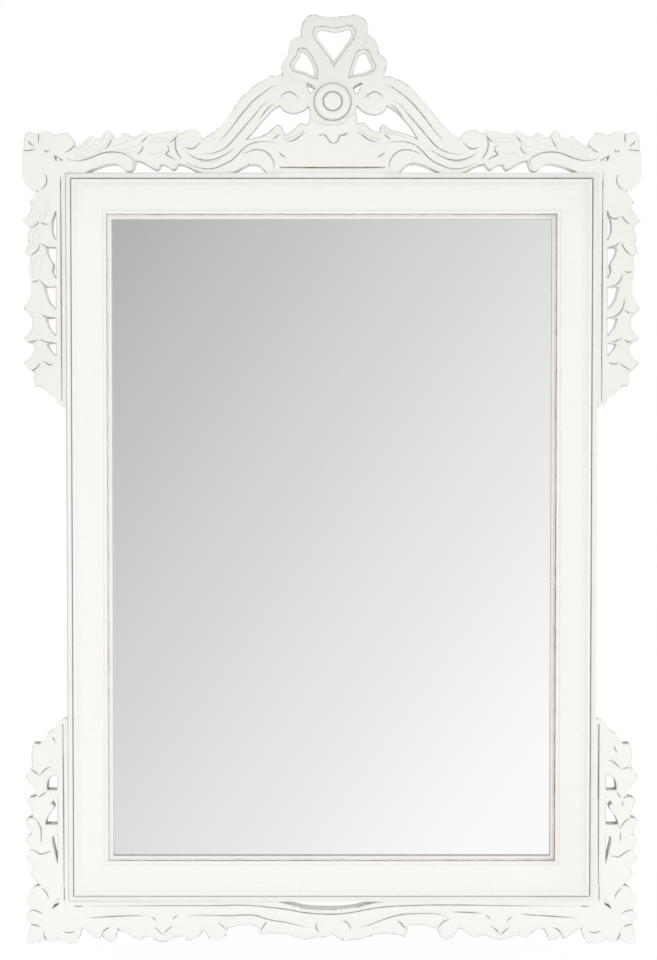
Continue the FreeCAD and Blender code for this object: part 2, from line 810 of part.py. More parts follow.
volute_px = ((290.5, 102.0), (372.5, 102.5))
knob_px = ((191.7, 138.4), (471.7, 138.4))
boss_px = (332.6, 101.5)
raised = [
    low_cone(f"crest_volute_{number + 1}", upper(*spot), volute_radius, volute_rise)
    for number, spot in enumerate(volute_px)
]
raised += [
    low_cone(f"crest_knob_{number + 1}", upper(*spot), knob_radius, knob_rise)
    for number, spot in enumerate(knob_px)
]
crest_holes = [
    leaning_hole("heart_hole", upper, [heart_hole], hole_splay),
    leaning_hole("left_loop_hole", upper, [left_loop_hole], hole_splay),
    leaning_hole("right_loop_hole", upper, [right_loop_hole], hole_splay),
    leaning_hole("left_gap_by_boss", upper, left_gap_by_boss, zero),
    leaning_hole("right_gap_by_boss", upper, right_gap_by_boss, zero),
    leaning_hole("left_gap_under_scroll", upper, left_gap_under_scroll, zero),
    leaning_hole("right_gap_under_scroll", upper, right_gap_under_scroll, zero),
]
crest = carving("crest", upper, crest_rim, (), crest_lines, raised, crest_holes)
drilled("crest", crest, spots_for("upper_crest"))

# Boss: a turned button with two rings and a dished middle, glued to the face of the crest
boss_shares = [
    (0.0, 0.0), (1.0, 0.0), (1.0, 0.5), (0.94, 0.72), (0.86, 0.6), (0.8, 0.86), (0.68, 0.94), (0.58, 0.78),
    (0.52, 0.5), (0.46, 0.86), (0.36, 1.0), (0.22, 0.92), (0.0, 0.84),
]
boss = body("crest_boss")
boss_half = sketch(
    boss, "boss_half_section", "XY_Plane", [[(x * boss_radius, -y * boss_height) for x, y in boss_shares]]
)
turning = boss.newObject("PartDesign::Revolution", "boss_turning")
turning.Profile = boss_half
turning.ReferenceAxis = (boss_half, ["V_Axis"])
turning.Angle = 360
boss_spot = upper(*boss_px)
boss.Placement = Placement(boss_spot, Rotation())
boss.setExpression("Placement.Base.y", (-carving_thickness).text)
finish("crest_boss", boss)

# Wings: leaf sprays between the crest and the corner rosettes, over a small C-shaped leaf
divide_line = [
    (64.5, 156), (69, 158.8), (78, 160), (88, 158.5), (98, 154.5), (107, 151.8), (115, 151.5),
    (122, 152.5), (128, 155), (133, 158.5), (134, 162.5), (130, 167),
]
scroll_back_line = [(176.5, 133), (175.2, 141.4), (175.7, 148.6), (179, 155.4), (184, 160.6)]
wing_rim = [
    [(75.5, 172.5)],
    [(75.5, 146.5), (79, 145), (84, 142), (88, 138.5)],
    [(92.5, 135), (96.5, 137.5)],
    [(100, 138), (105, 133), (108.5, 130.2), (112, 132.5)],
    [(113.5, 136.4), (115.5, 137.3), (120, 136), (123, 133.5), (127, 132.5)],
    [(129, 135.4), (132, 136), (138, 134.5), (142.5, 132), (147, 130), (148.5, 131.5)],
    [(149.2, 134), (155, 133), (162, 132), (170, 131), (175, 129.7), (177.5, 128.8), (178.8, 130.5)],
    [(179.4, 133.2)],
    [(181, 132.6)],
    [(181, 164.3)],
    [(178, 163.6), (175.5, 167.5)],
    [(173, 169.3), (170, 167.6), (163, 164)],
    [(160.5, 164.5), (158.5, 168)],
    [(156.5, 169.5), (153, 168), (147, 164.5), (140, 161)],
    [
        (136, 160.5), (134.5, 165.5), (132, 169.5), (128.5, 170.8), (124, 168.5), (120, 165),
        (117, 163.5), (112, 163.3), (104, 165), (98, 167), (92, 169.6),
    ],
    [(85, 172.5)],
]
wing_lines = [
    divide_line,
    scroll_back_line,
    [(113, 137), (110.5, 142), (107.5, 146.5), (105, 149)],
    [(147.5, 135), (143.5, 140), (141, 142.2)],
    [(177.4, 134.3), (174.3, 138.6), (168.6, 142)],
    [(141.5, 144), (142.8, 147), (142, 149.5), (136.5, 153.5)],
    [(165.7, 144.3), (168, 146.4), (168.6, 150), (165.7, 153.4), (170.7, 156.4), (174.5, 161.4)],
]
left_wing = carving("left_wing", upper, wing_rim, (), wing_lines)
drilled("left_wing", left_wing, spots_for("upper_wing", [-1]))

# Upper corner rosettes: four rounded lobes, the lowest a ball, with a border strip below
upper_border_line_top = [(61.3, 176), (61.3, 184), (61.3, 194)]
upper_rosette_rim = [
    [(66, 190.6)],
    [(66, 172.5)],
    [(75.5, 172.5)],
    [(75.5, 146.5), (74.5, 140.5), (72, 136), (68, 132.5), (62, 132.6)],
    [(54.5, 134.8), (50, 130.6), (45, 130.3)],
    [(39.5, 133), (33, 132), (27.5, 131.8), (25, 137), (24.3, 143)],
    [(24, 149), (22.8, 155), (22.8, 163), (22.5, 172), (24, 180), (28.5, 186.5), (34.5, 189.4)],
    [(38.5, 190.6)],
]
rosette_gap = [[(55, 155)], [(63.5, 159.7)], [(56.5, 160)]]
upper_rosette_lines = [
    divide_line,
    upper_border_line_top,
    [(39.2, 131), (39.3, 137), (39, 143.5)],
    [(22, 150.2), (30, 149.8), (37, 149)],
    [(28, 140), (31.5, 143.6), (35.5, 146.5)],
    [(45, 149), (46.2, 150.8), (47.4, 152)],
    [(47.6, 152), (48.6, 150.6), (49.6, 149)],
    [(65, 152.2), (70, 150), (73.5, 147), (75.2, 143.5)],
    [(40, 189.4), (44, 187), (46.6, 183.5), (47.3, 178), (44.5, 173.5)],
]
upper_ball = low_cone("upper_rosette_ball", upper(34.8, 176.4), ball_radius, ball_rise)
rosette = carving(
    "upper_left_rosette", upper, upper_rosette_rim, [rosette_gap], upper_rosette_lines, [upper_ball]
)
drilled("upper_left_rosette", rosette, spots_for("upper_rosette", [-1]))

# Upper drops: a garland of lapped leaves hanging beside each stile, pierced along its border
upper_drop_rim = [
    [(38.5, 190.6), (33, 197)],
    [(30, 201.5), (31.5, 205.5)],
    [(31.7, 209.6), (27.5, 215)],
    [(23, 220), (25.4, 223.3)],
    [(30.4, 227)],
    [(30, 230), (27.9, 233.3), (26.7, 236.7)],
    [(29.2, 241.3), (27.5, 245.4)],
    [(25, 252), (27, 254)],
    [(30.4, 256), (29.5, 262), (29, 268), (30.2, 278.3), (31, 290), (30.4, 294), (28.3, 299.6)],
    [(23.4, 308), (27, 312.6)],
    [(32, 316.7), (32, 322), (31.3, 328.3), (28, 333.3)],
    [(23.4, 338), (28, 342)],
    [(33, 344), (34, 347), (33.4, 351.5), (30.8, 356)],
    [(23.4, 362), (26, 366.6)],
    [(33, 370.4), (33.5, 375), (33.8, 380.8)],
    [(35.4, 386)],
    [
        (41.3, 385.8), (43.3, 390), (47, 392.5), (50.8, 395.4), (54, 397), (56.3, 400.8), (58, 404),
        (62.5, 405.8),
    ],
    [(66, 408)],
    [(66, 190.6)],
]
upper_drop_holes = [
    [[(56.5, 211), (54, 215), (52.5, 220), (52, 227), (52.5, 232), (54, 236)], [(56.5, 239)]],
    [
        [(47, 247), (47.5, 251.7), (50, 257.8), (53.2, 263.5)], [(53, 267), (52.4, 271)], [(56, 277)],
        [(56, 247)],
    ],
    [[(44.5, 286.5), (46, 292), (48.3, 299), (51, 303.7)], [(55.8, 308)], [(55.8, 286.5)]],
    [[(46.4, 317.8), (47.5, 324), (50, 329)], [(55.8, 335)], [(55.8, 317.5)]],
    [[(47, 343.6), (49, 348.5), (52, 352.3)], [(55.8, 354.8)], [(55.8, 343)]],
]
upper_drop_lines = [
    [(61.3, 187), (61.5, 295), (61.6, 400)],
    [(30.4, 227.4), (36, 224.5), (40, 220.5)],
    [(40.4, 221), (43, 222.8), (49, 223.5)],
    [(30, 255.4), (34.6, 252.5), (38.3, 248.7), (39.8, 243.3)],
    [(40.4, 242), (43, 244), (46.3, 245.9), (55.8, 246)],
    [(31, 280.8), (35.5, 280.8), (38.5, 278.3)],
    [(38.9, 278.6), (42, 282), (45, 285), (55.5, 285.6)],
    [(40.4, 312), (43.5, 315.2), (47, 316.7), (55.8, 316.5)],
    [(26, 341), (33, 341), (38, 339)],
    [(38.6, 339), (43, 340.4), (50, 342.2), (55.5, 341.4)],
    [(28, 368.5), (33.5, 369.3), (37.5, 366), (41, 361.6)],
    [(42, 360.8), (46, 362.6), (50, 364.6), (53, 362)],
]
drop = carving("upper_left_drop", upper, upper_drop_rim, upper_drop_holes, upper_drop_lines)
drilled("upper_left_drop", drop, spots_for("upper_drop", [-1]))
upper_right_drop_lines = [
    [(602.1, 187), (601.9, 295), (601.8, 400)],
    [(609.5, 215), (612.5, 217.8), (615.5, 218.2), (619, 216)],
    [(621, 214), (623.5, 218.5), (626.5, 221.5), (630, 223.8)],
    [(607.6, 246), (614, 245.6), (617, 243.8), (619.3, 241)],
    [(620.3, 241), (623, 246), (626.5, 251), (632.6, 254.6)],
    [(609.2, 284.2), (613, 285.2), (616.5, 284), (620, 280), (622.6, 272.5)],
    [(623.8, 270), (627, 271.6), (633, 270)],
    [(607.6, 316.3), (613, 316.3), (617, 314.8), (620.5, 311.5), (623.2, 306.5), (624.3, 297)],
    [(624.4, 308.8), (627, 311), (631, 312.6)],
    [(610.8, 340.6), (616, 340.6), (619, 339), (622.6, 337.8)],
    [(624.2, 337.6), (628.7, 341.4), (633, 340)],
    [(608.5, 361), (611.5, 363), (616, 363.4), (619.4, 362)],
    [(620.4, 362), (623, 365), (627, 367.6), (630.8, 369.6)],
]
holes = flipped_each(upper_drop_holes)
drop = carving("upper_right_drop", upper, flipped(upper_drop_rim), holes, upper_right_drop_lines)
drilled("upper_right_drop", drop, spots_for("upper_drop", [1]))

# Lower drops: the same garland rising from each lower corner
lower_drop_rim = [
    [(68, 719), (62, 721.2), (57.5, 725.4), (54.6, 729.6), (50, 733), (46, 736.5), (43.3, 740.4)],
    [(40.4, 744.5)],
    [(34.5, 744), (32.8, 750), (32.2, 757), (32.6, 765)],
    [(32.7, 769), (29.5, 771.5), (27.5, 775.5)],
    [(26.2, 779.5), (31, 784), (35, 789.5)],
    [(36.5, 797)],
    [(32, 798), (28.7, 800), (31, 808), (33, 814)],
    [(33, 818.5), (29, 819)],
    [(26, 821), (28.4, 827.7)],
    [(31.6, 835), (28.6, 837)],
    [(26, 840), (28, 845)],
    [(31, 850.5), (27.6, 855)],
    [(26.6, 858), (29.4, 862.6)],
    [(34, 868)],
    [(30.4, 875), (34.4, 880)],
    [(40, 886.5)],
    [(68, 886.5)],
]
lower_drop_holes = [
    [[(57.2, 776), (53.6, 776.7), (50, 779), (48, 783)], [(47.5, 790.5)], [(57.2, 790.5)]],
    [
        [(57.3, 798), (54.5, 799.6)], [(52, 804), (54, 809), (50, 815), (47, 820)], [(45.6, 825)],
        [(57.3, 825)],
    ],
    [[(57.3, 836)], [(52.5, 838), (52.5, 842), (54, 849), (55.5, 856)], [(57.3, 864)]],
]
lower_drop_lines = [
    [(63.3, 725), (63.6, 806), (63.8, 890)],
    [(30.6, 769.4), (36.6, 773.4), (40.5, 776.5)],
    [(40.8, 776.3), (44, 771.7), (48, 768.6), (51.5, 767.5)],
    [(37.5, 798.4), (42, 796), (47, 792)],
    [(31, 817.6), (36.6, 821), (40.6, 828), (41.4, 836), (40.5, 845)],
    [(29.6, 850), (37, 853), (41.5, 855), (45, 854.2), (53, 852.5)],
    [(52.5, 737), (54.2, 740), (55.5, 743.5)],
]
drop = carving("lower_left_drop", lower, lower_drop_rim, lower_drop_holes, lower_drop_lines)
drilled("lower_left_drop", drop, spots_for("lower_drop", [-1]))
lower_right_drop_lines = [
    [(598.8, 725), (598.5, 806), (598.8, 890)],
    [(613.4, 745.5), (614.6, 749.5), (616.6, 753.6)],
    [(607.3, 762), (609.5, 761), (613, 762.6), (617, 766), (620.4, 769.8)],
    [(620.8, 770.2), (624, 768.9), (630.4, 768.8)],
    [(616.6, 792.4), (618.4, 795.2), (620.6, 798.8)],
    [(622.6, 799), (625, 797.8), (627.2, 797.2)],
    [(622.3, 801), (622.2, 808)],
    [(618.8, 827.2), (620.2, 829.4)],
    [(620.8, 829.2), (622.6, 824.8), (626, 821.2), (630.4, 818.9)],
    [(620.3, 832), (620.2, 844)],
    [(609.8, 857.4), (613, 857), (617.6, 858), (622, 855.6), (626.6, 852.4), (632.6, 850.4)],
]
holes = flipped_each(lower_drop_holes)
drop = carving("lower_right_drop", lower, flipped(lower_drop_rim), holes, lower_right_drop_lines)
drilled("lower_right_drop", drop, spots_for("lower_drop", [1]))

# Lower corner rosettes
apron_border_line_end = [(72, 907.4), (78, 907.3), (85, 907.2)]
lower_rosette_rim = [
    [(68, 886.5)],
    [(40, 886.5), (33.5, 889.2), (29.5, 894), (27, 898.4), (27, 903), (29, 907)],
    [(31, 911.5), (27.8, 914.6)],
    [(26, 917.5), (28.4, 922)],
    [(31, 926), (29, 932), (27.5, 938)],
    [(27.4, 944), (37, 944), (41.5, 942)],
    [(44.6, 940.5), (47, 943), (50, 944.4), (54, 943.6)],
    [(56.5, 940.5), (61, 943), (66, 944.5), (72, 944.5)],
    [(76.3, 944.2), (78, 940.5), (80, 934)],
    [(82, 929.5)],
    [(82, 902)],
    [(68, 902)],
]
lower_rosette_gap = [[(52, 909.5)], [(58, 905.4)], [(57.5, 900)]]
lower_rosette_lines = [
    apron_border_line_end,
    [(63.8, 883), (63.9, 894), (64, 905)],
    [(40.5, 888.6), (44.6, 891.6), (47.4, 896), (48, 901)],
    [(43, 932.5), (44, 937.6), (47.4, 942)],
    [(28.8, 925.6), (35, 926.2), (41, 929)],
    [(29, 911.2), (36, 911.8), (43, 916)],
    [(61, 931), (69, 934), (75.5, 931)],
]
lower_ball = low_cone("lower_rosette_ball", lower(37.4, 900), lower_ball_radius, ball_rise)
rosette = carving(
    "lower_left_rosette", lower, lower_rosette_rim, [lower_rosette_gap], lower_rosette_lines, [lower_ball]
)
drilled("lower_left_rosette", rosette, spots_for("lower_rosette", [-1]))

# Apron: one long carved board under the frame, open in a thin lens shape at the middle
apron_rim = [
    [(82, 902)],
    [(82, 929.5), (86, 932), (91, 935.5), (96, 939.3)],
    [(99.8, 940)],
    [(101.3, 936), (105, 940), (112, 943.4), (114.8, 941), (116.3, 935)],
    [(119, 931.6), (124, 934), (129, 936.5), (135, 940), (139, 942)],
    [(143, 938.5), (148, 938), (155, 941), (164, 942.5), (170, 941), (177, 938), (182, 937.4)],
    [(187, 941.6), (193, 940.6), (199, 937)],
    [(203.3, 931.3), (206, 935), (211, 941), (218, 942.5), (224, 940), (226.7, 934)],
    [(227, 929.5), (231, 929), (236, 927.5), (245, 926.5)],
    [(257.5, 927.5), (258.5, 931)],
    [
        (260, 936.5), (266, 935.4), (272, 934.5), (280, 934.6), (290, 936.7), (300, 939.5), (310, 940),
        (320, 938.7), (328, 937.6),
    ],
    [(332, 935.5), (338, 939), (344, 941.5), (355, 941), (365, 939), (374, 936), (382, 935), (395, 935.5)],
    [(405, 938), (407.5, 932)],
    [(409, 926.5), (418, 926.6), (427, 927), (432, 929)],
    [(437, 929), (439.5, 935.5), (446, 941), (451, 940), (456, 935)],
    [(459, 929.5), (463, 930.5), (468, 934.5), (474, 938.5)],
    [(480, 937.5), (488, 937.6), (495, 940), (503, 941), (511, 939)],
    [(519, 936.5), (523, 938.6)],
    [(532, 934), (540, 930.5)],
    [(545, 930.6), (547, 935), (550, 941.5), (557, 940), (561.5, 935.5)],
    [(563.4, 939.6), (568, 938.6), (574, 934)],
    [(581.4, 929.5)],
    [(581.4, 902)],
    [(388, 902), (372, 904.4), (357, 908), (342, 910), (320, 910.1), (302, 908.6), (290, 905.6)],
    [(276.5, 902)],
]
leaf_vee_lines = [
    [(150, 917.5), (153.4, 919.6), (156, 923)],
    [(153, 929), (157, 930.8), (160, 934), (163.4, 936)],
    [(163.9, 936), (166, 932), (169, 929.4), (173, 927)],
    [(178, 917), (174, 918.6), (172.5, 921)],
]
apron_lines = [
    [
        (79, 907.3), (120, 907), (170, 906.6), (220, 906.6), (250, 906.5), (270, 908.5), (290, 911),
        (300, 913), (320, 915), (340, 915), (355, 913), (370, 910), (385, 908), (410, 906.6), (450, 906),
        (500, 906.6), (545, 907), (584.4, 907.3),
    ],
    [(84, 919.4), (98, 918.4), (125, 917), (148, 917)],
    [
        (180, 917), (206, 916.4), (235, 916.6), (257, 917), (268, 920.6), (285, 923.4), (300, 926.8),
        (313, 928.6),
    ],
    [
        (357, 928), (366, 927), (380, 922), (390, 918.5), (400, 916), (425, 914.6), (440, 915.6),
        (448, 919.4),
    ],
    [(450, 913), (466, 913.4), (484, 914.4)],
    [(517, 914.6), (540, 916.6), (562, 918), (579, 919.6)],
    *leaf_vee_lines,
    *flipped(leaf_vee_lines),
    [(317.6, 923), (316, 928), (317.6, 932), (320.6, 934)],
    [(341, 922), (346, 923), (349.6, 927), (350, 932)],
    [(217, 924.3), (221, 926), (224, 929), (225.8, 932)],
    [(451, 920.8), (445, 922), (441, 925.6), (438.6, 930)],
    [(267.6, 922), (263.6, 927), (260.4, 933)],
    [(396.4, 921), (402, 925.4), (406.6, 931)],
    [(101, 936), (104.6, 931), (110.6, 928.6)],
    [(562.4, 936), (558.6, 931), (552.6, 928.6)],
    [(116.4, 929), (118, 931), (120, 932)],
]
apron = carving("apron", lower, apron_rim, (), apron_lines)
drilled("apron", apron, spots_for("lower_apron"))

for piece in ("wing", "upper_rosette", "lower_rosette"):
    left_name = piece.replace("er_", "er_left_") if "_" in piece else f"left_{piece}"
    right_name = left_name.replace("left", "right")
    finish(right_name, turned_over(right_name, finished[left_name]))


# Looking glass, standing on two blocks and held sideways by shims
pane_width = sight_width + 2 * glass_rebate_width - 2 * pane_gap
pane_height = sight_height + 2 * glass_rebate_width - 2 * pane_gap
pane = new("Part::Box", "mirror_pane")
bind(pane, Length=pane_width, Width=pane_thickness, Height=pane_height)
place(pane, x=-pane_width / 2, y=-glass_rebate_depth, z=frame_middle - pane_height / 2)
finish("mirror_pane", pane)

blocks = []
for number, side in enumerate((-1, 1)):
    block = new("Part::Box", f"setting_block_{number + 1}")
    bind(block, Length=block_length, Width=pane_thickness, Height=pane_gap)
    place(
        block,
        x=side * (pane_width / 2 - block_inset) - block_length / 2,
        y=-glass_rebate_depth,
        z=frame_middle - pane_height / 2 - pane_gap,
    )
    blocks.append(block)
finish("setting_blocks", gathered("setting_blocks", blocks))

shims = []
for number, (side, up) in enumerate(corners.values()):
    shim = new("Part::Box", f"side_shim_{number + 1}")
    bind(shim, Length=pane_gap, Width=pane_thickness, Height=block_length)
    place(
        shim,
        x=side * (pane_width / 2 + pane_gap / 2) - pane_gap / 2,
        y=-glass_rebate_depth,
        z=frame_middle + up * (pane_height / 2 - block_inset) - block_length / 2,
    )
    shims.append(shim)
finish("side_shims", gathered("side_shims", shims))

# Backing board, in its own rebate, and its countersunk screws
board_width = sight_width + 2 * glass_rebate_width + 2 * board_rebate_width - 2 * board_gap
board_height = sight_height + 2 * glass_rebate_width + 2 * board_rebate_width - 2 * board_gap
screw_spots = []
for share in short_screw_shares:
    for up in (-1, 1):
        screw_spots.append((share * frame_width / 2, up * (frame_height / 2 - board_screw_inset)))
for share in long_screw_shares:
    for side in (-1, 1):
        screw_spots.append((side * (frame_width / 2 - board_screw_inset), share * frame_height / 2))
board = body("backing_board_panel")
panel_loop = [
    (side * board_width / 2, up * board_height / 2) for side, up in ((-1, -1), (1, -1), (1, 1), (-1, 1))
]
panel = sketch(board, "board_outline", "XZ_Plane", [panel_loop])
feature(board, "Pad", "board_panel", panel, board_thickness)
shank_circles = [(x, z, board_screw_radius + screw_clearance) for x, z in screw_spots]
shank_holes = sketch(board, "board_shank_circles", "XZ_Plane", circles=shank_circles)
feature(board, "Pocket", "board_shank_holes", shank_holes, through=True, both_sides=True)
board_back = board_rebate_depth - board_thickness
place(board, y=-board_back, z=frame_middle)
sinks = []
for number, (x, z) in enumerate(screw_spots):
    sink = new("Part::Cone", f"board_countersink_{number + 1}")
    bind(
        sink,
        Radius1=board_screw_head_radius + screw_clearance,
        Radius2=board_screw_radius + screw_clearance,
        Height=board_screw_head_height,
    )
    sink.Placement = Placement(Vector(), Rotation(Vector(1, 0, 0), 90))
    place(sink, x=x, y=-board_back, z=frame_middle + z)
    sinks.append(sink)
finish("backing_board", joined("Part::Cut", "backing_board", board, gathered("board_countersinks", sinks)))


def screw(name, head_loop, length, radius, point):
    """A wood screw lying along -Y with its head's back at Y = 0: head, shank and point."""
    owner = body(name)
    loop = [*head_loop, (radius, -(length - point)), (zero, -length)]
    half = sketch(owner, name + "_half", "XY_Plane", [loop])
    turned = owner.newObject("PartDesign::Revolution", name + "_turning")
    turned.Profile = half
    turned.ReferenceAxis = (half, ["V_Axis"])
    turned.Angle = 360
    return owner


board_screw = screw(
    "board_screw_pattern",
    [
        (zero, zero),
        (board_screw_head_radius, zero),
        (board_screw_radius - screw_clearance, -board_screw_head_height),
    ],
    board_screw_length,
    board_screw_radius - screw_clearance,
    board_screw_point,
)
spots = []
for x, z in screw_spots:
    spots.append(Placement(Vector(float(x), -float(board_back), float(frame_middle + z)), Rotation()))
finish("board_screws", copies("board_screws", board_screw, spots))

# Strap hangers: a folded steel strap on each stile with a D-shaped ring in its eye
eye_outer = ring_wire_radius + ring_clearance + strap_thickness
hinge_height = frame_top - hanger_drop
strap_end = strap_length - strap_width / 2
round_end_share = 1.001
head_top_share = 0.7
for side, hand in ((-1, "left"), (1, "right")):
    hanger_x = side * (frame_width / 2 - hanger_inset)
    owner = body(f"{hand}_strap_plate")
    half = strap_width / 2
    plan_loop = [(-half, -strap_end), (half, -strap_end), (half, zero), (-half, zero)]
    round_end = {0: (half * round_end_share, -1)}
    plan = sketch(owner, f"{hand}_strap_plan", "XZ_Plane", [plan_loop], arcs=round_end)
    feature(owner, "Pad", f"{hand}_strap_sheet", plan, strap_thickness, back=True)
    drops = [strap_screw_first, strap_screw_second]
    holes = sketch(
        owner, f"{hand}_strap_holes", "XZ_Plane",
        circles=[(zero, -drop, strap_screw_radius + screw_clearance) for drop in drops],
    )
    feature(owner, "Pocket", f"{hand}_strap_screw_holes", holes, through=True, both_sides=True)
    rolled = sketch(owner, f"{hand}_eye_circle", "YZ_Plane", circles=[(eye_outer, zero, eye_outer)])
    feature(owner, "Pad", f"{hand}_eye", rolled, strap_width, both_sides=True)
    bore = sketch(
        owner, f"{hand}_eye_bore_circle", "YZ_Plane",
        circles=[(eye_outer, zero, ring_wire_radius + ring_clearance)],
    )
    feature(owner, "Pocket", f"{hand}_eye_bore", bore, through=True, both_sides=True)
    place(owner, x=hanger_x, z=hinge_height)
    finish(f"{hand}_hanger_strap", owner)

    # The ring hangs straight down from its eye, flat over the strap
    pieces = []
    mid_half = ring_inner_width / 2 + ring_wire_radius
    straight = mid_half - ring_corner_radius
    bar = new("Part::Cylinder", f"{hand}_ring_bar")
    bar.Placement = Placement(Vector(), Rotation(Vector(0, 1, 0), 90))
    bind(bar, Radius=ring_wire_radius, Height=2 * straight)
    place(bar, x=hanger_x - straight, y=eye_outer, z=hinge_height)
    pieces.append(bar)
    bow_radius = mid_half
    for end in (-1, 1):
        corner = new("Part::Torus", f"{hand}_ring_corner_{'left' if end < 0 else 'right'}")
        bind(corner, Radius1=ring_corner_radius, Radius2=ring_wire_radius)
        corner.Angle3 = 90
        corner.Placement = Placement(Vector(), Rotation(Vector(1, 0, 0), 90))
        corner.Placement = Placement(
            Vector(), Rotation(Vector(0, 1, 0), -90 if end < 0 else 0).multiply(corner.Placement.Rotation)
        )
        place(corner, x=hanger_x + end * straight, y=eye_outer, z=hinge_height - ring_corner_radius)
        pieces.append(corner)
        leg = new("Part::Cylinder", f"{hand}_ring_leg_{'left' if end < 0 else 'right'}")
        bind(leg, Radius=ring_wire_radius, Height=ring_leg)
        place(leg, x=hanger_x + end * mid_half, y=eye_outer, z=hinge_height - ring_corner_radius - ring_leg)
        pieces.append(leg)
    bow = new("Part::Torus", f"{hand}_ring_bow")
    bind(bow, Radius1=bow_radius, Radius2=ring_wire_radius)
    bow.Angle3 = 180
    bow.Placement = Placement(Vector(), Rotation(Vector(1, 0, 0), -90))
    place(bow, x=hanger_x, y=eye_outer, z=hinge_height - ring_corner_radius - ring_leg)
    pieces.append(bow)
    finish(f"{hand}_hanger_ring", gathered(f"{hand}_hanger_ring", pieces, "Part::MultiFuse"))

strap_screw = screw(
    "strap_screw_pattern",
    [
        (zero, strap_screw_head_height),
        (strap_screw_head_radius * head_top_share, strap_screw_head_height),
        (strap_screw_head_radius, strap_screw_head_height / 2),
        (strap_screw_head_radius, zero),
        (strap_screw_radius - screw_clearance, zero),
    ],
    strap_screw_length,
    strap_screw_radius - screw_clearance,
    strap_screw_point,
)
spots = []
for side in (-1, 1):
    for drop in (strap_screw_first, strap_screw_second):
        x = side * (frame_width / 2 - hanger_inset)
        z = hinge_height - drop
        spots.append(Placement(Vector(float(x), float(strap_thickness), float(z)), Rotation()))
finish("strap_screws", copies("strap_screws", strap_screw, spots))

# Bumpers on the bottom corners of the back
bumpers = []
for number, side in enumerate((-1, 1)):
    bumper = new("Part::Cone", f"wall_bumper_{number + 1}")
    bumper.Placement = Placement(Vector(), Rotation(Vector(1, 0, 0), -90))
    bind(bumper, Radius1=bumper_radius, Radius2=bumper_face_radius, Height=bumper_height)
    place(bumper, x=side * (frame_width / 2 - bumper_inset), z=frame_bottom + bumper_inset)
    bumpers.append(bumper)
finish("wall_bumpers", gathered("wall_bumpers", bumpers))

doc.recompute()

faults = [item.Name for item in doc.Objects if {"Invalid", "Error"} & set(item.State)]
for name, part in finished.items():
    if part.Shape.isNull() or not part.Shape.isValid() or part.Shape.Volume <= 0:
        faults.append(name)
if faults:
    raise SystemExit("these objects failed: " + ", ".join(faults))

os.makedirs("parts", exist_ok=True)
for name, part in finished.items():
    part.Shape.exportStep(f"parts/{name}.step")
    solids = len(part.Shape.Solids)
    box = part.Shape.BoundBox
    across = f"x {box.XMin:7.1f} {box.XMax:7.1f} y {box.YMin:6.1f} {box.YMax:5.1f}"
    volume = part.Shape.Volume / 1000
    print(f"{name:22s} {solids:3d} solids {volume:9.2f} cm3 {across} z {box.ZMin:7.1f} {box.ZMax:7.1f}")
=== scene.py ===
"""Looks of a pediment mirror: a painted moulding frame with pierced and carved boards round it."""
import math

import bpy
import numpy as np
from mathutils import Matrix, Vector
from mathutils.bvhtree import BVHTree
from mathutils.geometry import delaunay_2d_cdt


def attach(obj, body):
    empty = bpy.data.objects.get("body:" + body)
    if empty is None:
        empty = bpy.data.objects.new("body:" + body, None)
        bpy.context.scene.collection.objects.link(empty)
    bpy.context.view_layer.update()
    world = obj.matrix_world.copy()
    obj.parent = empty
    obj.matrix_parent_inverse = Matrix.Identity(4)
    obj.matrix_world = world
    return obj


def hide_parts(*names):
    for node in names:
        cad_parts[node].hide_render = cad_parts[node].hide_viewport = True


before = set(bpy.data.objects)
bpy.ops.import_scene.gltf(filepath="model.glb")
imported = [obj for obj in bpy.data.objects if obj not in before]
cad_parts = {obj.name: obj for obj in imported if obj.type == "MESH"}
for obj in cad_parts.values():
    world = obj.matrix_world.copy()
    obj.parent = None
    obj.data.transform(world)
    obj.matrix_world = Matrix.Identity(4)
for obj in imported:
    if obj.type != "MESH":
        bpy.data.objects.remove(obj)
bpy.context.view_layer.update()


# Four mitred rails of one wooden moulding: strip, V groove, ridge, cove, broad field, step,
# quirk and bead. Gessoed, painted antique white and rubbed, with dark glaze left in the
# grooves. The back is bare wood.
class Wire:
    """A socket of a finish's nodes. Sums and products of wires add the nodes that work them out."""

    def __init__(self, tree, socket=None):
        self.tree, self.socket = tree, socket

    def add(self, kind, settings=(), inputs=(), output=0):
        """Add a node: its settings first, then the values or wires of its sockets."""
        made = self.tree.nodes.new("ShaderNode" + kind)
        for name, value in dict(settings).items():
            setattr(made, name, value)
        for name, value in dict(inputs).items():
            self.put(made.inputs[name], value)
        return Wire(self.tree, made.outputs[output])

    def put(self, socket, value):
        """Join a wire to a socket, or set a constant on it."""
        if isinstance(value, Wire):
            self.tree.links.new(value.socket, socket)
        elif socket.type == "RGBA":
            socket.default_value = (*value, 1)
        else:
            socket.default_value = value

    def maths(self, operation, *values, clamp=False):
        return self.add("Math", {"operation": operation, "use_clamp": clamp}, enumerate(values))

    def __add__(self, other):
        return self.maths("ADD", self, other)

    def __sub__(self, other):
        return self.maths("SUBTRACT", self, other)

    def __rsub__(self, other):
        return self.maths("SUBTRACT", other, self)

    def __mul__(self, other):
        return self.maths("MULTIPLY", self, other)

    def __truediv__(self, other):
        return self.maths("DIVIDE", self, other)

    __radd__, __rmul__ = __add__, __mul__

    def clamped(self):
        return self.maths("ADD", self, 0, clamp=True)

    def above(self, edge, softness):
        """0 below the edge and 1 above it, over a soft step."""
        return self.maths("DIVIDE", self - (edge - softness / 2), softness, clamp=True)

    def band(self, middle, half, softness):
        """1 in a band about the middle and 0 outside it."""
        return 1 - self.maths("ABSOLUTE", self - middle).above(half, softness)


def place_in(wire):
    """The place on the object, in metres."""
    return wire.add("TexCoord", output=3)


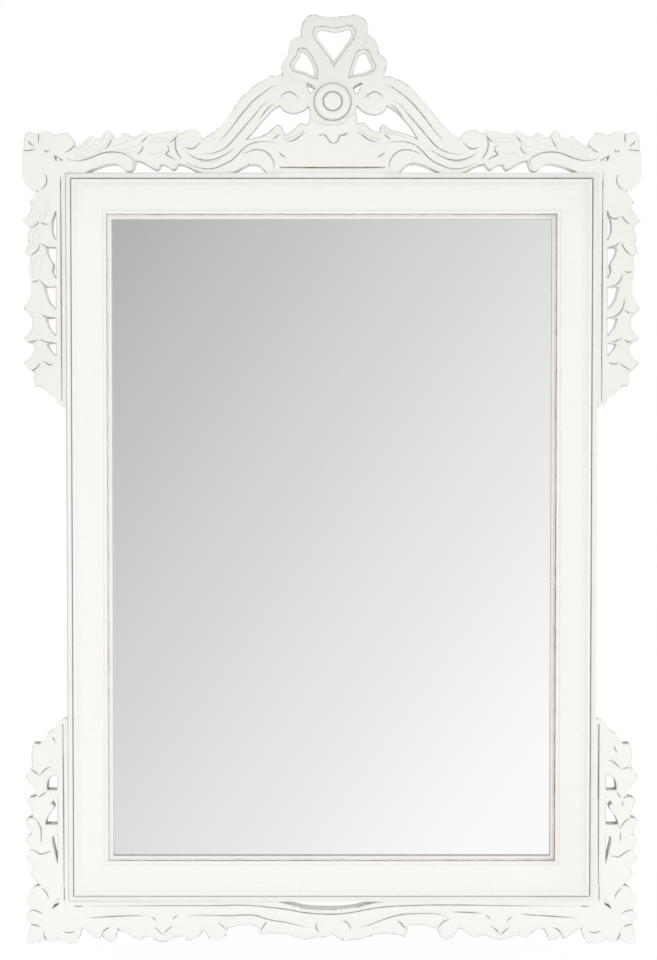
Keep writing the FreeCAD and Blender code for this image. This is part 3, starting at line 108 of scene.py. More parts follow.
def split(vector):
    """The three numbers of a place or a direction."""
    return [vector.add("SeparateXYZ", inputs={0: vector}, output=axis) for axis in range(3)]


def stretched(vector, x, y, z):
    """A place with each of its axes multiplied, for a noise that runs along one of them."""
    return vector.add("VectorMath", {"operation": "MULTIPLY"}, {0: vector, 1: (x, y, z)})


def noise(vector, scale, detail=3, roughness=0.5):
    """Soft noise from 0 to 1, mostly near 0.5; the scale is in waves per metre."""
    inputs = {"Vector": vector, "Scale": scale, "Detail": detail, "Roughness": roughness}
    return vector.add("TexNoise", inputs=inputs)


def blend(mask, first, second):
    """The first colour where the mask is 0 and the second where it is 1."""
    wire = next(item for item in (mask, first, second) if isinstance(item, Wire))
    return wire.add("Mix", {"data_type": "RGBA"}, {0: mask, 6: first, 7: second}, output=2)


def new_finish(name):
    """An empty finish: the material, its surface shader and a wire to build from."""
    material = bpy.data.materials.new(name)
    material.use_nodes = True
    return material, material.node_tree.nodes["Principled BSDF"], Wire(material.node_tree)


def bump(height, depth, strength=1.0):
    """A normal from a height in metres times the depth."""
    return height.add("Bump", inputs={"Height": height, "Distance": depth, "Strength": strength})


def give(shader, wire, **inputs):
    """Set the sockets of the surface shader."""
    for name, value in inputs.items():
        wire.put(shader.inputs[name.replace("_", " ")], value)


def dress(finish, *names):
    """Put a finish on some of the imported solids."""
    for name in names:
        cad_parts[name].data.materials[0] = finish


antique_white = (0.9, 0.888, 0.858)
aged_and_shaded_white = (0.85, 0.832, 0.792)
painted_light_white = (0.945, 0.937, 0.915)
dark_glaze = (0.075, 0.07, 0.064)
# Grey for glaze and specks, and for painted shade on the rails.
grey_glaze_and_shade = (0.33, 0.32, 0.3)
rust_brown = (0.3, 0.15, 0.075)
bare_tan = (0.46, 0.3, 0.16)


def raw_wood(wire, place, light=(0.56, 0.41, 0.26), dark=(0.36, 0.235, 0.13), run=(300, 300, 16)):
    """Colour of planed wood with its grain along the axis of the smallest number."""
    along = stretched(place, *run)
    rings = noise(along, 1.0, 4, 0.6)
    pores = noise(along, 3.2, 2, 0.5)
    return blend((rings * 1.5 - 0.28 + pores * 0.2).clamped(), light, dark), pores


def bare_back(place, y):
    """1 on the back of a piece, where the paint stops in an uneven edge."""
    return (y * 1000 + noise(place, 60, 2) * 0.6).above(0.02, 0.3)


# Places of the moulding's lines, in millimetres inwards from the frame's outer edge.
rails = ("top_rail", "bottom_rail", "left_stile", "right_stile")
half_width, half_height, frame_middle = 340, 468, -0.439
groove_at, step_at, quirk_at, bead_at, lip_at = 7.3, 47.2, 52.3, 55.6, 57.9
rebate_at, rebate_depth = 47.4, -9.3

rail_finish, shader, wire = new_finish("painted_rails")
place = place_in(wire)
x, y, z = split(place)
up = z - frame_middle
across = half_width - wire.maths("ABSOLUTE", x) * 1000
down = half_height - wire.maths("ABSOLUTE", up) * 1000
inwards = wire.maths("MINIMUM", across, down)
on_stile = (down - across).above(0, 1)
patches = noise(place, 9, 4, 0.6)
brushing_up = noise(stretched(place, 900, 900, 30), 1, 3, 0.55)
brushing_along = noise(stretched(place, 30, 900, 900), 1, 3, 0.55)
brushing = brushing_up * on_stile + brushing_along * (1 - on_stile)
grit = noise(place, 1400, 2, 0.5)
broken = noise(place, 55, 4, 0.65)
wobble = inwards + (noise(place, 120, 2) - 0.5) * 0.8
on_right, on_bottom = (x * 20 - 4.9).clamped(), (z * -20 - 16).clamped()
on_left, left_groove, left_quirk = [(x * -20 - start).clamped() for start in (5.9, 6, 5)]
on_top, top_edge = (z * 20 + 1).clamped(), (z * 20).clamped()
low_right = on_right * (z * -1.6 + 0.1).clamped()
beside_crest = wire.maths("ABSOLUTE", x * 1000).above(66, 10)

# Dark lines of glaze in the groove and the quirk, thinner or broken here and there. How dark
# they are changes from rail to rail as painted shade: the groove is lighter on both stiles, and
# the quirk lighter on the left stile and darker low on the right.
groove = wobble.band(groove_at + on_right * 0.7, 0.3 + on_right * 0.35, 0.5) * (
    0.84 - on_right * 0.38 - left_groove * 0.46)
quirk = wobble.band(quirk_at, 0.35 + low_right * 0.25, 0.5) * (0.86 + low_right * 0.1 - left_quirk * 0.3)
lines = (groove + quirk) * (broken * 1.6 + 0.05).clamped()
rusty = wobble.band(quirk_at, 1.5, 0.5) * (low_right + on_bottom * (x * 10 + 0.3).clamped()).clamped()

# Painted shade on the rounded outer edge, more on the left and higher up, on the bead of the
# right stile, at the step, under the top groove, and along the glass edge, most on the bottom
# rail. A grey band on the strip, more on the top rail away from the crest, and thin glaze beside
# the groove and the quirk.
edge = wobble.band(0.6 + on_left * 0.5, 0.5, 1.0) * (1 + on_left * 0.5)
edge_shade_strength = (0.5 - x * 1.3 + up * 0.4) * (beside_crest + 0.2) * 0.5
strip = wobble.band(3.4, 3, 2) * (0.04 + top_edge * beside_crest * 0.2)
top_shade = wobble.band(15, 3, 18) * on_top * 0.08
step_shade = wobble.band(step_at, 0.6, 1.6) * 0.05
bead = wobble.band(bead_at, 2.2, 1.4) * on_right * 0.2
lip = wobble.band(lip_at, 0.4, 1.2) * (0.1 - on_right * 0.1 + on_bottom * 0.5)
beside_lines = wobble.band(groove_at, 0.9, 1.6) * 0.12 + wobble.band(quirk_at + 0.3, 0.9, 1.4) * 0.1
soft = edge * edge_shade_strength + strip + bead + step_shade + beside_lines + lip + top_shade

worn = (noise(place, 85, 5, 0.72) - 0.60).above(0.02, 0.05)
rubbed = (noise(place, 24, 4, 0.7) - 0.6).above(0.02, 0.06) * (
    wobble.band(quirk_at + 0.2, 0.3, 0.7) + wobble.band(groove_at + 0.3, 0.2, 0.6) * 0.7).clamped()
specks = (noise(place, 620, 2, 0.6) - 0.72).above(0.02, 0.03)
paint = blend((patches * 1.6 - 0.5).clamped() * 0.45 + brushing * 0.12, antique_white, aged_and_shaded_white)
# Painted light: the paint is whiter low down. Painted shade: it is greyer on the top rail, and greyer on the right
# stile as well.
paint = blend((z * -1.15).clamped() * 0.8, paint, painted_light_white)
paint = blend(on_right * 0.3 + on_top * 0.3, paint, aged_and_shaded_white)
# The painted shade and the glaze of the bands above, in grey.
paint = blend((soft * (broken + 0.35)).clamped(), paint, grey_glaze_and_shade)
paint = blend(lines.clamped(), paint, blend(rusty, dark_glaze, rust_brown))
paint = blend(specks * 0.35, paint, grey_glaze_and_shade)
paint = blend(rubbed * 0.55, paint, bare_tan)
timber_up, _ = raw_wood(wire, place)
timber_along, _ = raw_wood(wire, place, run=(16, 300, 300))
timber = blend(on_stile, timber_along, timber_up)
rebate = inwards.above(rebate_at, 0.2) * (y * 1000).above(rebate_depth, 0.2)
unpainted = wire.maths("MAXIMUM", bare_back(place, y), rebate)
give(shader, wire, Base_Color=blend(unpainted, paint, timber),
     Roughness=0.42 + brushing * 0.16 + unpainted * 0.25,
     Normal=bump(brushing * 0.7 + grit * 0.3 + worn * -0.8, 0.00022, 0.6))
dress(rail_finish, *rails)


# Flat tongues glued across the four mitres, and thirty dowels between the boards and the
# rails. Beech, sealed inside the wood.
beech, shader, wire = new_finish("beech")
place = place_in(wire)
timber, pores = raw_wood(wire, place, (0.6, 0.45, 0.3), (0.45, 0.31, 0.18), (120, 120, 120))
give(shader, wire, Base_Color=timber, Roughness=0.6 + pores * 0.1, Normal=bump(pores, 0.0001))
dress(beech, "mitre_tongues", "carving_dowels")


# The crest: one pierced board with a ribbon bow, two scrolls and a pedestal. It is sawn out,
# its leaves and bands are rounded over with gouges, and the lines between them are cut with a
# V tool. Painted like the frame, with glaze in the cuts and dark lines along the sawn edges. Its
# sawn walls are painted light, whiter than the paint against their shade, and its upper part has
# painted shade, greyer.
# The boards lie from 0 at the back to 18 mm at the face, which looks towards -y. The V cuts
# go down to 15 mm; distances are measured a little below their floor and halfway up them.
board_face = 18.0
cut_floor = -15.0
below_cuts, in_cuts = -14.5, -16.5
carved_boards = [
    "crest", "left_wing", "right_wing", "upper_left_rosette", "upper_right_rosette", "upper_left_drop",
    "upper_right_drop", "lower_left_drop", "lower_right_drop", "lower_left_rosette", "lower_right_rosette", "apron",
]


def sawn_solid(name):
    """The corners and triangles of a packed board, in millimetres, with shared corners joined."""
    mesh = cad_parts[name].data
    mesh.calc_loop_triangles()
    corners = np.empty(len(mesh.vertices) * 3)
    mesh.vertices.foreach_get("co", corners)
    corners, places = np.unique(np.round(corners.reshape(-1, 3) * 1000, 3), axis=0, return_inverse=True)
    faces = np.empty(len(mesh.loop_triangles) * 3, dtype=int)
    mesh.loop_triangles.foreach_get("vertices", faces)
    faces = places.ravel()[faces].reshape(-1, 3)
    keep = (faces[:, 0] != faces[:, 1]) & (faces[:, 1] != faces[:, 2]) & (faces[:, 0] != faces[:, 2])
    return corners, faces[keep]


def facing(corners, faces):
    """The normal of each triangle, and its lowest and highest place front to back."""
    sides = corners[faces]
    normals = np.cross(sides[:, 1] - sides[:, 0], sides[:, 2] - sides[:, 0])
    normals /= np.maximum(np.linalg.norm(normals, axis=1, keepdims=True), 1e-9)
    return normals, sides[:, :, 1].min(axis=1), sides[:, :, 1].max(axis=1)


def search_tree(parts):
    """One search tree over the triangles of several solids."""
    corners, faces = [], []
    for points, triangles in parts:
        faces += [[index + len(corners) for index in triangle] for triangle in triangles.tolist()]
        corners += points.tolist()
    return BVHTree.FromPolygons(corners, faces)


sawn = {name: sawn_solid(name) for name in carved_boards}
around = {name: sawn_solid(name) for name in rails}
all_round = search_tree([*sawn.values(), *around.values()])
owner = np.repeat([*sawn, *around], [len(faces) for _, faces in (*sawn.values(), *around.values())])
walls, cut_floors, cut_walls, own_walls = [], [], [], {}
just_outside = 0.6
for name, (corners, faces) in sawn.items():
    normals, nearest, furthest = facing(corners, faces)
    upright = np.abs(normals[:, 1]) < 0.5
    level_floor = (normals[:, 1] < -0.9) & (nearest > cut_floor - 0.3) & (furthest < cut_floor + 0.3)
    whole = upright & ((furthest > -0.05) | (nearest < -board_face + 0.05)) & (furthest > cut_floor + 0.1)
    own_walls[name] = search_tree([(corners, faces[whole])])
    free = []
    for index in np.flatnonzero(whole):
        spot = corners[faces[index]].mean(axis=0) + just_outside * normals[index]
        hit = all_round.ray_cast(Vector((spot[0], -60, spot[2])), Vector((0, 1, 0)))
        if hit[0] is None or owner[hit[2]] == name:
            free.append(index)
    walls.append((corners, faces[free]))
    cut_floors.append((corners, faces[level_floor]))
    cut_walls.append((corners, faces[upright & (furthest < cut_floor + 0.3)]))
walls, cut_floors, cut_walls = search_tree(walls), search_tree(cut_floors), search_tree(cut_walls)


far_off = 30.0


def gaps(tree, spots, depth, far=far_off):
    """Distance from each spot to the nearest triangle of a tree, and the way from it to the spot."""
    distances = np.full(len(spots), far)
    ways = np.zeros((len(spots), 2))
    for index, (x, z) in enumerate(spots.tolist()):
        place, _, _, distance = tree.find_nearest((x, depth, z), far)
        if place is not None:
            distances[index] = distance
            if distance > 1e-6:
                ways[index] = ((x - place[0]) / distance, (z - place[2]) / distance)
    return distances, ways


def stroke_gaps(spots, strokes):
    """Distance from each spot to the nearest of some drawn strokes."""
    nearest = np.full(len(spots), far_off)
    for stroke in strokes:
        for start, end in zip(stroke, stroke[1:]):
            start, end = np.array(start), np.array(end)
            share = np.clip((spots - start) @ (end - start) / ((end - start) @ (end - start)), 0, 1)
            nearest = np.minimum(nearest, np.linalg.norm(spots - start - share[:, None] * (end - start), axis=1))
    return nearest


middle_px = 331.7


def on_upper(x, y):
    """The place in millimetres of a reading of the photograph on the carvings of the upper part."""
    side = -1 if x < middle_px else 1
    out = middle_px - abs(x - middle_px)
    return side * np.interp(out, (22.5, 66, 181, 331.7), (395, 340, 192, 0)), np.interp(
        y, (14.3, 172.5, 408), (229, 29, -271))


def on_lower(x, y):
    """The same for the carvings of the lower part."""
    side = -1 if x < middle_px else 1
    out = middle_px - abs(x - middle_px)
    return side * np.interp(out, (26, 68, 331.7), (395, 340, 0)), np.interp(
        y, (719, 902, 944.5), (-670, -907, -962))


edge_radius = 1.7
swell, swell_reach = 0.9, 9
leaf_step, leaf_reach = 0.7, 6.5
scratch_depth, scratch_width, scratch_stain = 0.4, 0.6, 0.42
seam_width, ring_width, edge_line_width = 0.5, 0.45, 0.5


def thin_line(away, width):
    """1 on a line and almost 0 at twice its width."""
    return np.exp(-((away / width) ** 2))


def carved_face(spots, eyes=(), strokes=(), fall=None, rings=(), vein=0.6, seams=()):
    """How far each spot of a carved face stands out from the back, and how dark it is: glaze in the cuts and a dark
    line along the sawn edges.

    eyes are round raised forms and rings are lines round a form that stands on the board: each is
    (x, z, radius, rise or glaze). fall gives the way that the leaves lie, down which each leaf
    starts under the tip of the one before. strokes are fine scratches, with vein as their glaze,
    and seams are lines of full glaze.
    """
    from_edge, _ = gaps(walls, spots, below_cuts)
    from_cut, way = gaps(cut_floors, spots, cut_floor)
    in_cut, _ = gaps(cut_walls, spots, in_cuts)
    inside = from_cut < 1e-3
    nearest = np.minimum(from_edge, from_cut)
    height = np.full(len(spots), board_face)
    height -= swell * np.clip(1 - nearest / swell_reach, 0, 1) ** 2
    over_edge = np.clip(edge_radius - from_edge, 0, edge_radius)
    height -= edge_radius - np.sqrt(edge_radius ** 2 - over_edge ** 2)
    height -= np.where(inside, 0.2 + np.clip(in_cut / 0.8, 0, 1), 0.2 * thin_line(from_cut, 0.5))
    if fall is not None:
        slopes = fall(spots)
        side = np.clip((way * slopes).sum(axis=1) * 1.6, 0, 1)
        side[inside] = 0.5
        height -= leaf_step * side * np.exp(-from_cut / leaf_reach)
    off = stroke_gaps(spots, strokes)
    height -= scratch_depth * thin_line(off, scratch_width)
    glaze_and_wall_light = np.where(inside, 0.08 + 0.92 * np.clip((in_cut - 0.15) / 0.3, 0, 1), 0.08 * np.exp(-from_cut / 0.6))
    # A dark line along the sawn edges of the face, and a little darker towards them.
    glaze_and_wall_light += 0.55 * thin_line(from_edge, edge_line_width) + 0.03 * np.exp(-from_edge / 3)
    glaze_and_wall_light += vein * thin_line(off, scratch_stain) + thin_line(stroke_gaps(spots, seams), seam_width)
    for x, z, radius, rise in eyes:
        out = np.hypot(spots[:, 0] - x, spots[:, 1] - z) / radius
        height += rise * np.clip(1 - out ** 2, 0, 1) ** 1.3
    for x, z, radius, darkness in rings:
        out = np.hypot(spots[:, 0] - x, spots[:, 1] - z) - radius
        glaze_and_wall_light += darkness * thin_line(out, ring_width)
    return height, np.clip(glaze_and_wall_light, 0, 1)


def saw_lines(corners, faces, step=1.5):
    """The outline of a board and its piercings on the back, as short edges."""
    normals, nearest, _ = facing(corners, faces)
    back = faces[(normals[:, 1] > 0.9) & (nearest > -0.05)]
    sides = np.concatenate([back[:, [0, 1]], back[:, [1, 2]], back[:, [2, 0]]])
    key = np.sort(sides, axis=1)
    _, index, count = np.unique(key, axis=0, return_index=True, return_counts=True)
    rim = sides[index[count == 1]]
    spots = {int(corner): tuple(corners[corner, [0, 2]]) for corner in np.unique(rim)}
    numbers = {corner: index for index, corner in enumerate(spots)}
    places, edges = list(spots.values()), []
    for start, end in rim.tolist():
        a, b = np.array(spots[start]), np.array(spots[end])
        parts = max(1, int(np.ceil(np.linalg.norm(b - a) / step)))
        before = numbers[start]
        for part in range(1, parts + 1):
            if part < parts:
                places.append(tuple(a + (b - a) * part / parts))
                after = len(places) - 1
            else:
                after = numbers[end]
            edges.append((before, after))
            before = after
    return np.array(places), edges


def grid_spots(name, low, high, strokes, rings, coarse):
    """Places over a face: far apart where it is even, and close together by cuts and edges."""
    columns = np.arange(low[0] + coarse / 3, high[0], coarse)
    rows = np.arange(low[1] + coarse / 3, high[1], coarse)
    spots = np.stack([part.ravel() for part in np.meshgrid(columns, rows)], axis=1)
    kept = []
    step = coarse
    # Each round halves the step and goes on only near an edge, a cut or a drawn line.
    for edge_limit, cut_limit, line_limit in ((5, 5, 3), (2.4, 1.3, 1.2), (0, 0.05, 0.45), (0, 0, 0)):
        from_edge, _ = gaps(own_walls[name], spots, below_cuts, 8.0)
        from_cut, _ = gaps(cut_floors, spots, cut_floor, 8.0)
        off = stroke_gaps(spots, strokes)
        for x, z, radius, _ in rings:
            off = np.minimum(off, np.abs(np.hypot(spots[:, 0] - x, spots[:, 1] - z) - radius))
        kept.append(spots[from_edge > 0.3 * step])
        step /= 2
        parents = spots[(from_edge < edge_limit) | (from_cut < cut_limit) | (off < line_limit)]
        spots = np.concatenate([parents + (step, 0), parents + (0, step), parents + (step, step)])
    return np.concatenate(kept)


def filled(outline, edges, inner):
    """Triangles between an outline and the spots inside it."""
    spots = [Vector(spot) for spot in np.concatenate([outline, inner]).tolist()]
    flat, _, triangles, _, _, _ = delaunay_2d_cdt(spots, edges, [], 0, 1e-5)
    flat, triangles = np.array([tuple(point) for point in flat]), np.array(triangles)
    middles = flat[triangles].mean(axis=1)
    inside = np.zeros(len(middles), dtype=bool)
    for (x0, z0), (x1, z1) in outline[np.array(edges)].tolist():
        if z0 != z1:
            level = (z0 > middles[:, 1]) != (z1 > middles[:, 1])
            inside ^= level & (middles[:, 0] < x0 + (middles[:, 1] - z0) * (x1 - x0) / (z1 - z0))
    triangles = triangles[inside]
    one, two = (flat[triangles[:, corner]] - flat[triangles[:, 0]] for corner in (1, 2))
    turned = one[:, 0] * two[:, 1] - one[:, 1] * two[:, 0]
    triangles[turned < 0] = triangles[turned < 0][:, ::-1]
    return flat, triangles


def splays(name, rim, edges):
    """How far each place of the outline moves from the back to the face, and how far out its wall faces."""
    moves, turns = np.zeros((2, len(rim), 2)), np.zeros((2, len(rim)))
    for start, end in edges:
        x, z = (rim[start] + rim[end]) / 2
        normal = own_walls[name].find_nearest((x, -0.5, z))[1]
        level = math.hypot(normal.x, normal.z)
        for slot, corner in ((0, start), (1, end)):
            moves[slot, corner], turns[slot, corner] = (-normal.x / level, -normal.z / level), -normal.y / level
    (first, second), (one, two) = moves, turns * board_face
    between = np.clip((first * second).sum(axis=1), -0.8, 0.98)
    apart = 1 - between ** 2
    meeting = first * ((one - between * two) / apart)[:, None] + second * ((two - between * one) / apart)[:, None]
    smooth = (first + second) * ((one + two) / 2 / (1 + between))[:, None]
    outwards = -(first + second)[:, 0] * np.sign(rim[:, 0]) / 2
    return np.where((between > 0.9)[:, None], smooth, meeting), outwards


def stand_for(node, label, points, faces, glaze_and_wall_light, finish):
    """Add a painted piece, its points in millimetres, that stands for a node of the frame."""
    mesh = bpy.data.meshes.new(label)
    mesh.from_pydata((np.array(points) / 1000).tolist(), [], faces)
    mesh.attributes.new("glaze_and_wall_light", "FLOAT", "POINT").data.foreach_set("value", glaze_and_wall_light)
    mesh.shade_smooth()
    mesh.materials.append(finish)
    piece = bpy.data.objects.new(label, mesh)
    bpy.context.collection.objects.link(piece)
    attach(piece, "frame")
    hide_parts(node)
    return mesh


def carve(name, eyes=(), strokes=(), fall=None, rings=(), vein=0.6, seams=(), wall_tone=-0.5, inner_reach=0):
    """Model one carved board over its sawn solid and let it stand for that node.

    The wall argument tells how dark the sawn walls are painted; below 0 they are painted light,
    whiter than the paint against their shade. Nearer to the middle than inner_reach the walls have
    half of it.
    """
    corners, faces = sawn[name]
    rim, edges = saw_lines(corners, faces)
    splay, outwards = splays(name, rim, edges)
    hidden = np.where(np.abs(rim[:, 0]) < inner_reach, 0.5, 1)
    if wall_tone > 0:
        hidden = hidden * (1 - 0.85 * np.clip(outwards * 2 - 0.6, 0, 1))
    low, high = rim.min(axis=0), rim.max(axis=0)
    inner = grid_spots(name, low, high, [*strokes, *seams], rings, 2.4)
    flat, triangles = filled(rim + splay, edges, inner)

    # Only the spots that a triangle uses are kept.
    used = np.unique(triangles)
    renumber = np.full(len(flat), -1)
    renumber[used] = np.arange(len(used))
    ring = renumber[:len(rim)]
    flat, triangles = flat[used], renumber[triangles]
    height, glaze_and_wall_light = carved_face(flat, eyes, strokes, fall, rings, vein, seams)

    # A leaning wall has a dark line along its edge on the face.
    sloped = [edge for edge in edges if np.abs(splay[list(edge)]).max() > 0.2]
    off = stroke_gaps(flat, [(rim + splay)[list(edge)] for edge in sloped])
    glaze_and_wall_light = np.clip(glaze_and_wall_light + 0.85 * thin_line(off, 0.55), 0, 1)
    points = [np.stack([flat[:, 0], -height, flat[:, 1]], axis=1)]
    darkness, mesh_faces = [glaze_and_wall_light], triangles.tolist()

    # The sawn walls go from the face to the back in rings of points, each with its own darkness:
    # dark lines along the front and back edges, and the wall tone between them, which on the upper
    # boards is painted light against their shade.
    a, b = np.array(edges).T
    fronts, before = -height[ring], ring
    wall_rings = (fronts + 0.6, 0.6), (fronts + 1.4, wall_tone), (-3.0, wall_tone), (-1.8, 0.4), (0, 0.5)
    for level, tone in wall_rings:
        depths = np.broadcast_to(level, len(rim))
        places = rim + splay * (depths / -board_face)[:, None]
        after = sum(len(part) for part in points) + np.arange(len(rim))
        points.append(np.stack([places[:, 0], depths, places[:, 1]], axis=1))
        darkness.append(np.maximum(tone, wall_tone) * hidden)
        mesh_faces += np.stack([before[a], before[b], after[b], after[a]], axis=1).tolist()
        before = after
    _, back_faces = filled(rim, edges, np.empty((0, 2)))
    mesh_faces += before[back_faces[:, ::-1]].tolist()
    mesh = stand_for(name, name + "_carved", np.concatenate(points), mesh_faces, np.concatenate(darkness), carved_finish)
    mesh.set_sharp_from_angle(angle=math.radians(55))


carved_finish, shader, wire = new_finish("painted_carving")
place = place_in(wire)
x, y, z = split(place)
glaze_and_wall_light = wire.add("Attribute", {"attribute_name": "glaze_and_wall_light"}, output=2)
patches = noise(place, 14, 4, 0.6)
brushing = noise(stretched(place, 260, 60, 180), 1, 4, 0.6)
grit = noise(place, 1300, 2, 0.5)
broken = noise(place, 70, 4, 0.65)
specks = (noise(place, 560, 2, 0.6) - 0.71).above(0.02, 0.03)
worn = (noise(place, 75, 5, 0.72) - 0.63).above(0.02, 0.05)
carved_white, carved_aged = (0.875, 0.863, 0.83), (0.79, 0.765, 0.72)
painted_shade_grey, painted_light_bottom, painted_light_wall = (0.765, 0.75, 0.72), (0.97, 0.962, 0.937), (0.95, 0.944, 0.925)
tan_step, fleck_brown = (0.8, 0.62, 0.46), (0.24, 0.115, 0.06)
paint = blend((patches * 1.7 - 0.5).clamped() * 0.5 + brushing * 0.15, carved_white, carved_aged)
# Painted shade: the upper part of the crest is greyer.
paint = blend(((z - 0.1) * 7.0 * (patches + 0.5)).clamped(), paint, painted_shade_grey)
# Painted light: the lower boards are whiter.
paint = blend((z * -1.6 - 0.7).clamped(), paint, painted_light_bottom)
# Painted light: the sawn walls of the upper boards are whiter than the paint, against their shade.
paint = blend((glaze_and_wall_light * -2.0).clamped(), paint, painted_light_wall)
step = (z * 1000).band(36.6, 0.9, 1.2) * (x * 1000).band(2, 62, 6)
paint = blend(step * broken * 0.7, paint, tan_step)
paint = blend((glaze_and_wall_light * 0.85 * (broken * 0.9 + 0.5)).clamped(), paint, grey_glaze_and_shade)
rusty = (noise(place, 170, 2, 0.6) - 0.56).above(0.02, 0.06) * 0.6
deep_glaze = blend(rusty, dark_glaze, fleck_brown)
paint = blend(((glaze_and_wall_light - 0.62) * 1.7 * (broken * 1.5 + 0.05)).clamped(), paint, deep_glaze)
paint = blend(specks * 0.4, paint, grey_glaze_and_shade)
paint = blend(worn * (glaze_and_wall_light.band(0.4, 0.1, 0.2)) * 0.5, paint, bare_tan)
timber, _ = raw_wood(wire, place)
behind = bare_back(place, y)
give(shader, wire, Base_Color=blend(behind, paint, timber),
     Roughness=0.5 + brushing * 0.14 + behind * 0.2,
     Normal=bump(brushing * 0.6 + grit * 0.25 + worn * -0.6, 0.0003, 0.6))

crest_eyes = [(*on_upper(290.5, 102.0), 13.5, 0.9), (*on_upper(372.5, 102.5), 13.5, 0.9),
              (*on_upper(191.7, 138.4), 11, 0.9), (*on_upper(471.7, 138.4), 11, 0.9)]
boss_x, boss_z = 1.1, 118.8
crest_veins = [
    [(284.6, 137.5), (293, 136.6), (299.5, 133), (304, 129.4)],
    [(281.5, 138.8), (289, 138.4)],
    [(361, 129.4), (366, 134), (373, 137.6), (381, 138.8)],
    [(382.5, 126.5), (386, 131.5), (392, 135)],
    [(273, 128.5), (268, 133), (261.5, 137)],
    [(390, 131), (398, 134.6), (407, 137)],
    [(333.9, 66.8), (334, 70)],
    [(311.5, 118.5), (318, 122.6), (327, 124.4), (338, 124.2), (346.5, 121.8)],
    [(347, 117), (352, 114.4), (355, 112.4)],
    [(366.5, 93), (368.6, 96.5), (368.8, 100)],
    [(298, 62.5), (301, 56.5)],
    [(362.6, 46.8), (366, 41)],
    [(200.5, 160.7), (211, 161.7), (220, 159)],
    [(447, 158.6), (455, 161.4), (464, 160.4)],
]
crest_veins = [[on_upper(*spot) for spot in vein] for vein in crest_veins]
pedestal_lines = [
    [(279.5, 166.8), (331, 166.8), (385, 166.8)],
    [(279.5, 167.5), (331, 167.5), (385, 167.5)],
    [(318.8, 134.2), (322, 135)],
    [(344, 134), (347.6, 132.2)],
    [(330, 141.6), (333.2, 143.2), (336.6, 141)],
]
pedestal_lines = [[on_upper(*spot) for spot in line] for line in pedestal_lines]
carve("crest", crest_eyes, crest_veins, rings=[(boss_x, boss_z, 23.75, 1.0), (boss_x, boss_z, 29.3, 0.12)],
      seams=pedestal_lines)


# A turned wooden button glued on the middle of the crest: a ring, a fillet and a dished
# centre. Painted like the carvings, with glaze in its two grooves and round its foot.
boss_finish = carved_finish.copy()
boss_finish.name = "painted_boss"
radii = [(0.0, 24.4), (4, 24.4), (8, 24.5), (9.8, 24.3), (10.8, 23.6), (11.4, 22.6), (11.9, 22.0), (12.4, 22.5),
         (13.2, 23.8), (14.8, 25.2), (16.8, 25.95), (18.8, 25.7), (20.4, 24.8), (21.6, 23.5), (22.5, 21.9),
         (23.1, 20.2), (23.35, 18.8), (23.35, 17.0)]
glazes = [0, 0, 0, 0, 0.05, 0.7, 1, 0.7, 0.05, 0, 0, 0, 0, 0, 0.03, 0.5, 1, 1]
turns = 96
last_row = 1 + (len(radii) - 2) * turns
points, faces, darkness = [(boss_x, -radii[0][1], boss_z)], [], [glazes[0]]
for (radius, height), tone in zip(radii[1:], glazes[1:]):
    for turn in range(turns):
        angle = 2 * math.pi * turn / turns
        points.append((boss_x + radius * math.cos(angle), -height, boss_z + radius * math.sin(angle)))
        darkness.append(tone)
for turn in range(turns):
    after = (turn + 1) % turns
    faces.append((0, 1 + turn, 1 + after))
    for row in range(len(radii) - 2):
        start = 1 + row * turns
        faces.append((start + turn, start + turns + turn, start + turns + after, start + after))
faces.append(tuple(last_row + turn for turn in reversed(range(turns))))
stand_for("crest_boss", "crest_boss_turned", points, faces, darkness, boss_finish)


# Leaf wings beside the crest: overlapping leaves over a curled band, on the top rail. The
# veins are scratched in with a fine gouge.
def along_wing(spots):
    """The leaves lie towards the crest, and run level into the boards at both ends."""
    out = np.abs(spots[:, 0])
    share = np.clip((out - 192) / 20, 0, 1) * np.clip((327.7 - out) / 20, 0, 1)
    return np.stack([-np.sign(spots[:, 0]) * share, 0 * share], axis=1)


wing_veins = [
    [(67.1, 153.6), (81.4, 152.1), (91.4, 147.1), (97.9, 138.6)],
    [(68.6, 155), (84.3, 154.3), (95.7, 149.3), (102.9, 140), (105.7, 133.6)],
    [(74.3, 157.1), (87.1, 156), (100, 150.7), (107.9, 141.4), (111.4, 134.3)],
    [(77.1, 149.3), (85, 145.7), (91.4, 140)],
    [(84, 157.6), (96, 155.4), (104, 150)],
    [(112.9, 147.1), (122.9, 142.9), (132.9, 138.6), (142.9, 134.3)],
    [(118, 149.3), (131.4, 147.1), (141.4, 143.6)],
    [(124, 152.5), (134, 151), (141, 148.6)],
    [(148.6, 140), (157.1, 137.1), (168.6, 138.6), (174.3, 135.7)],
    [(149.3, 142.1), (162.9, 141.4), (170, 140)],
    [(146, 152), (156, 153.5), (164, 150.5)],
]
left_veins = [[on_upper(*spot) for spot in vein] for vein in wing_veins]
right_veins = [[(-x, z) for x, z in vein] for vein in left_veins]
carve("left_wing", strokes=left_veins, fall=along_wing, vein=0.38)
carve("right_wing", strokes=right_veins, fall=along_wing, vein=0.26)


# Rosettes on the upper corners, each carved in its own board: four petals and a curled ball.
# Glued to the rails, with a dark seam along the stile.
ball = on_upper(34.8, 176.4)
left_seam = [on_upper(*spot) for spot in ((61.3, 177), (61.3, 191))]
right_seam = [on_upper(*spot) for spot in ((602.1, 171), (602.1, 191))]
carve("upper_left_rosette", [(*ball, 13, 0.9)], seams=[left_seam])
carve("upper_right_rosette", [(-ball[0], ball[1], 13, 0.9)], seams=[right_seam])


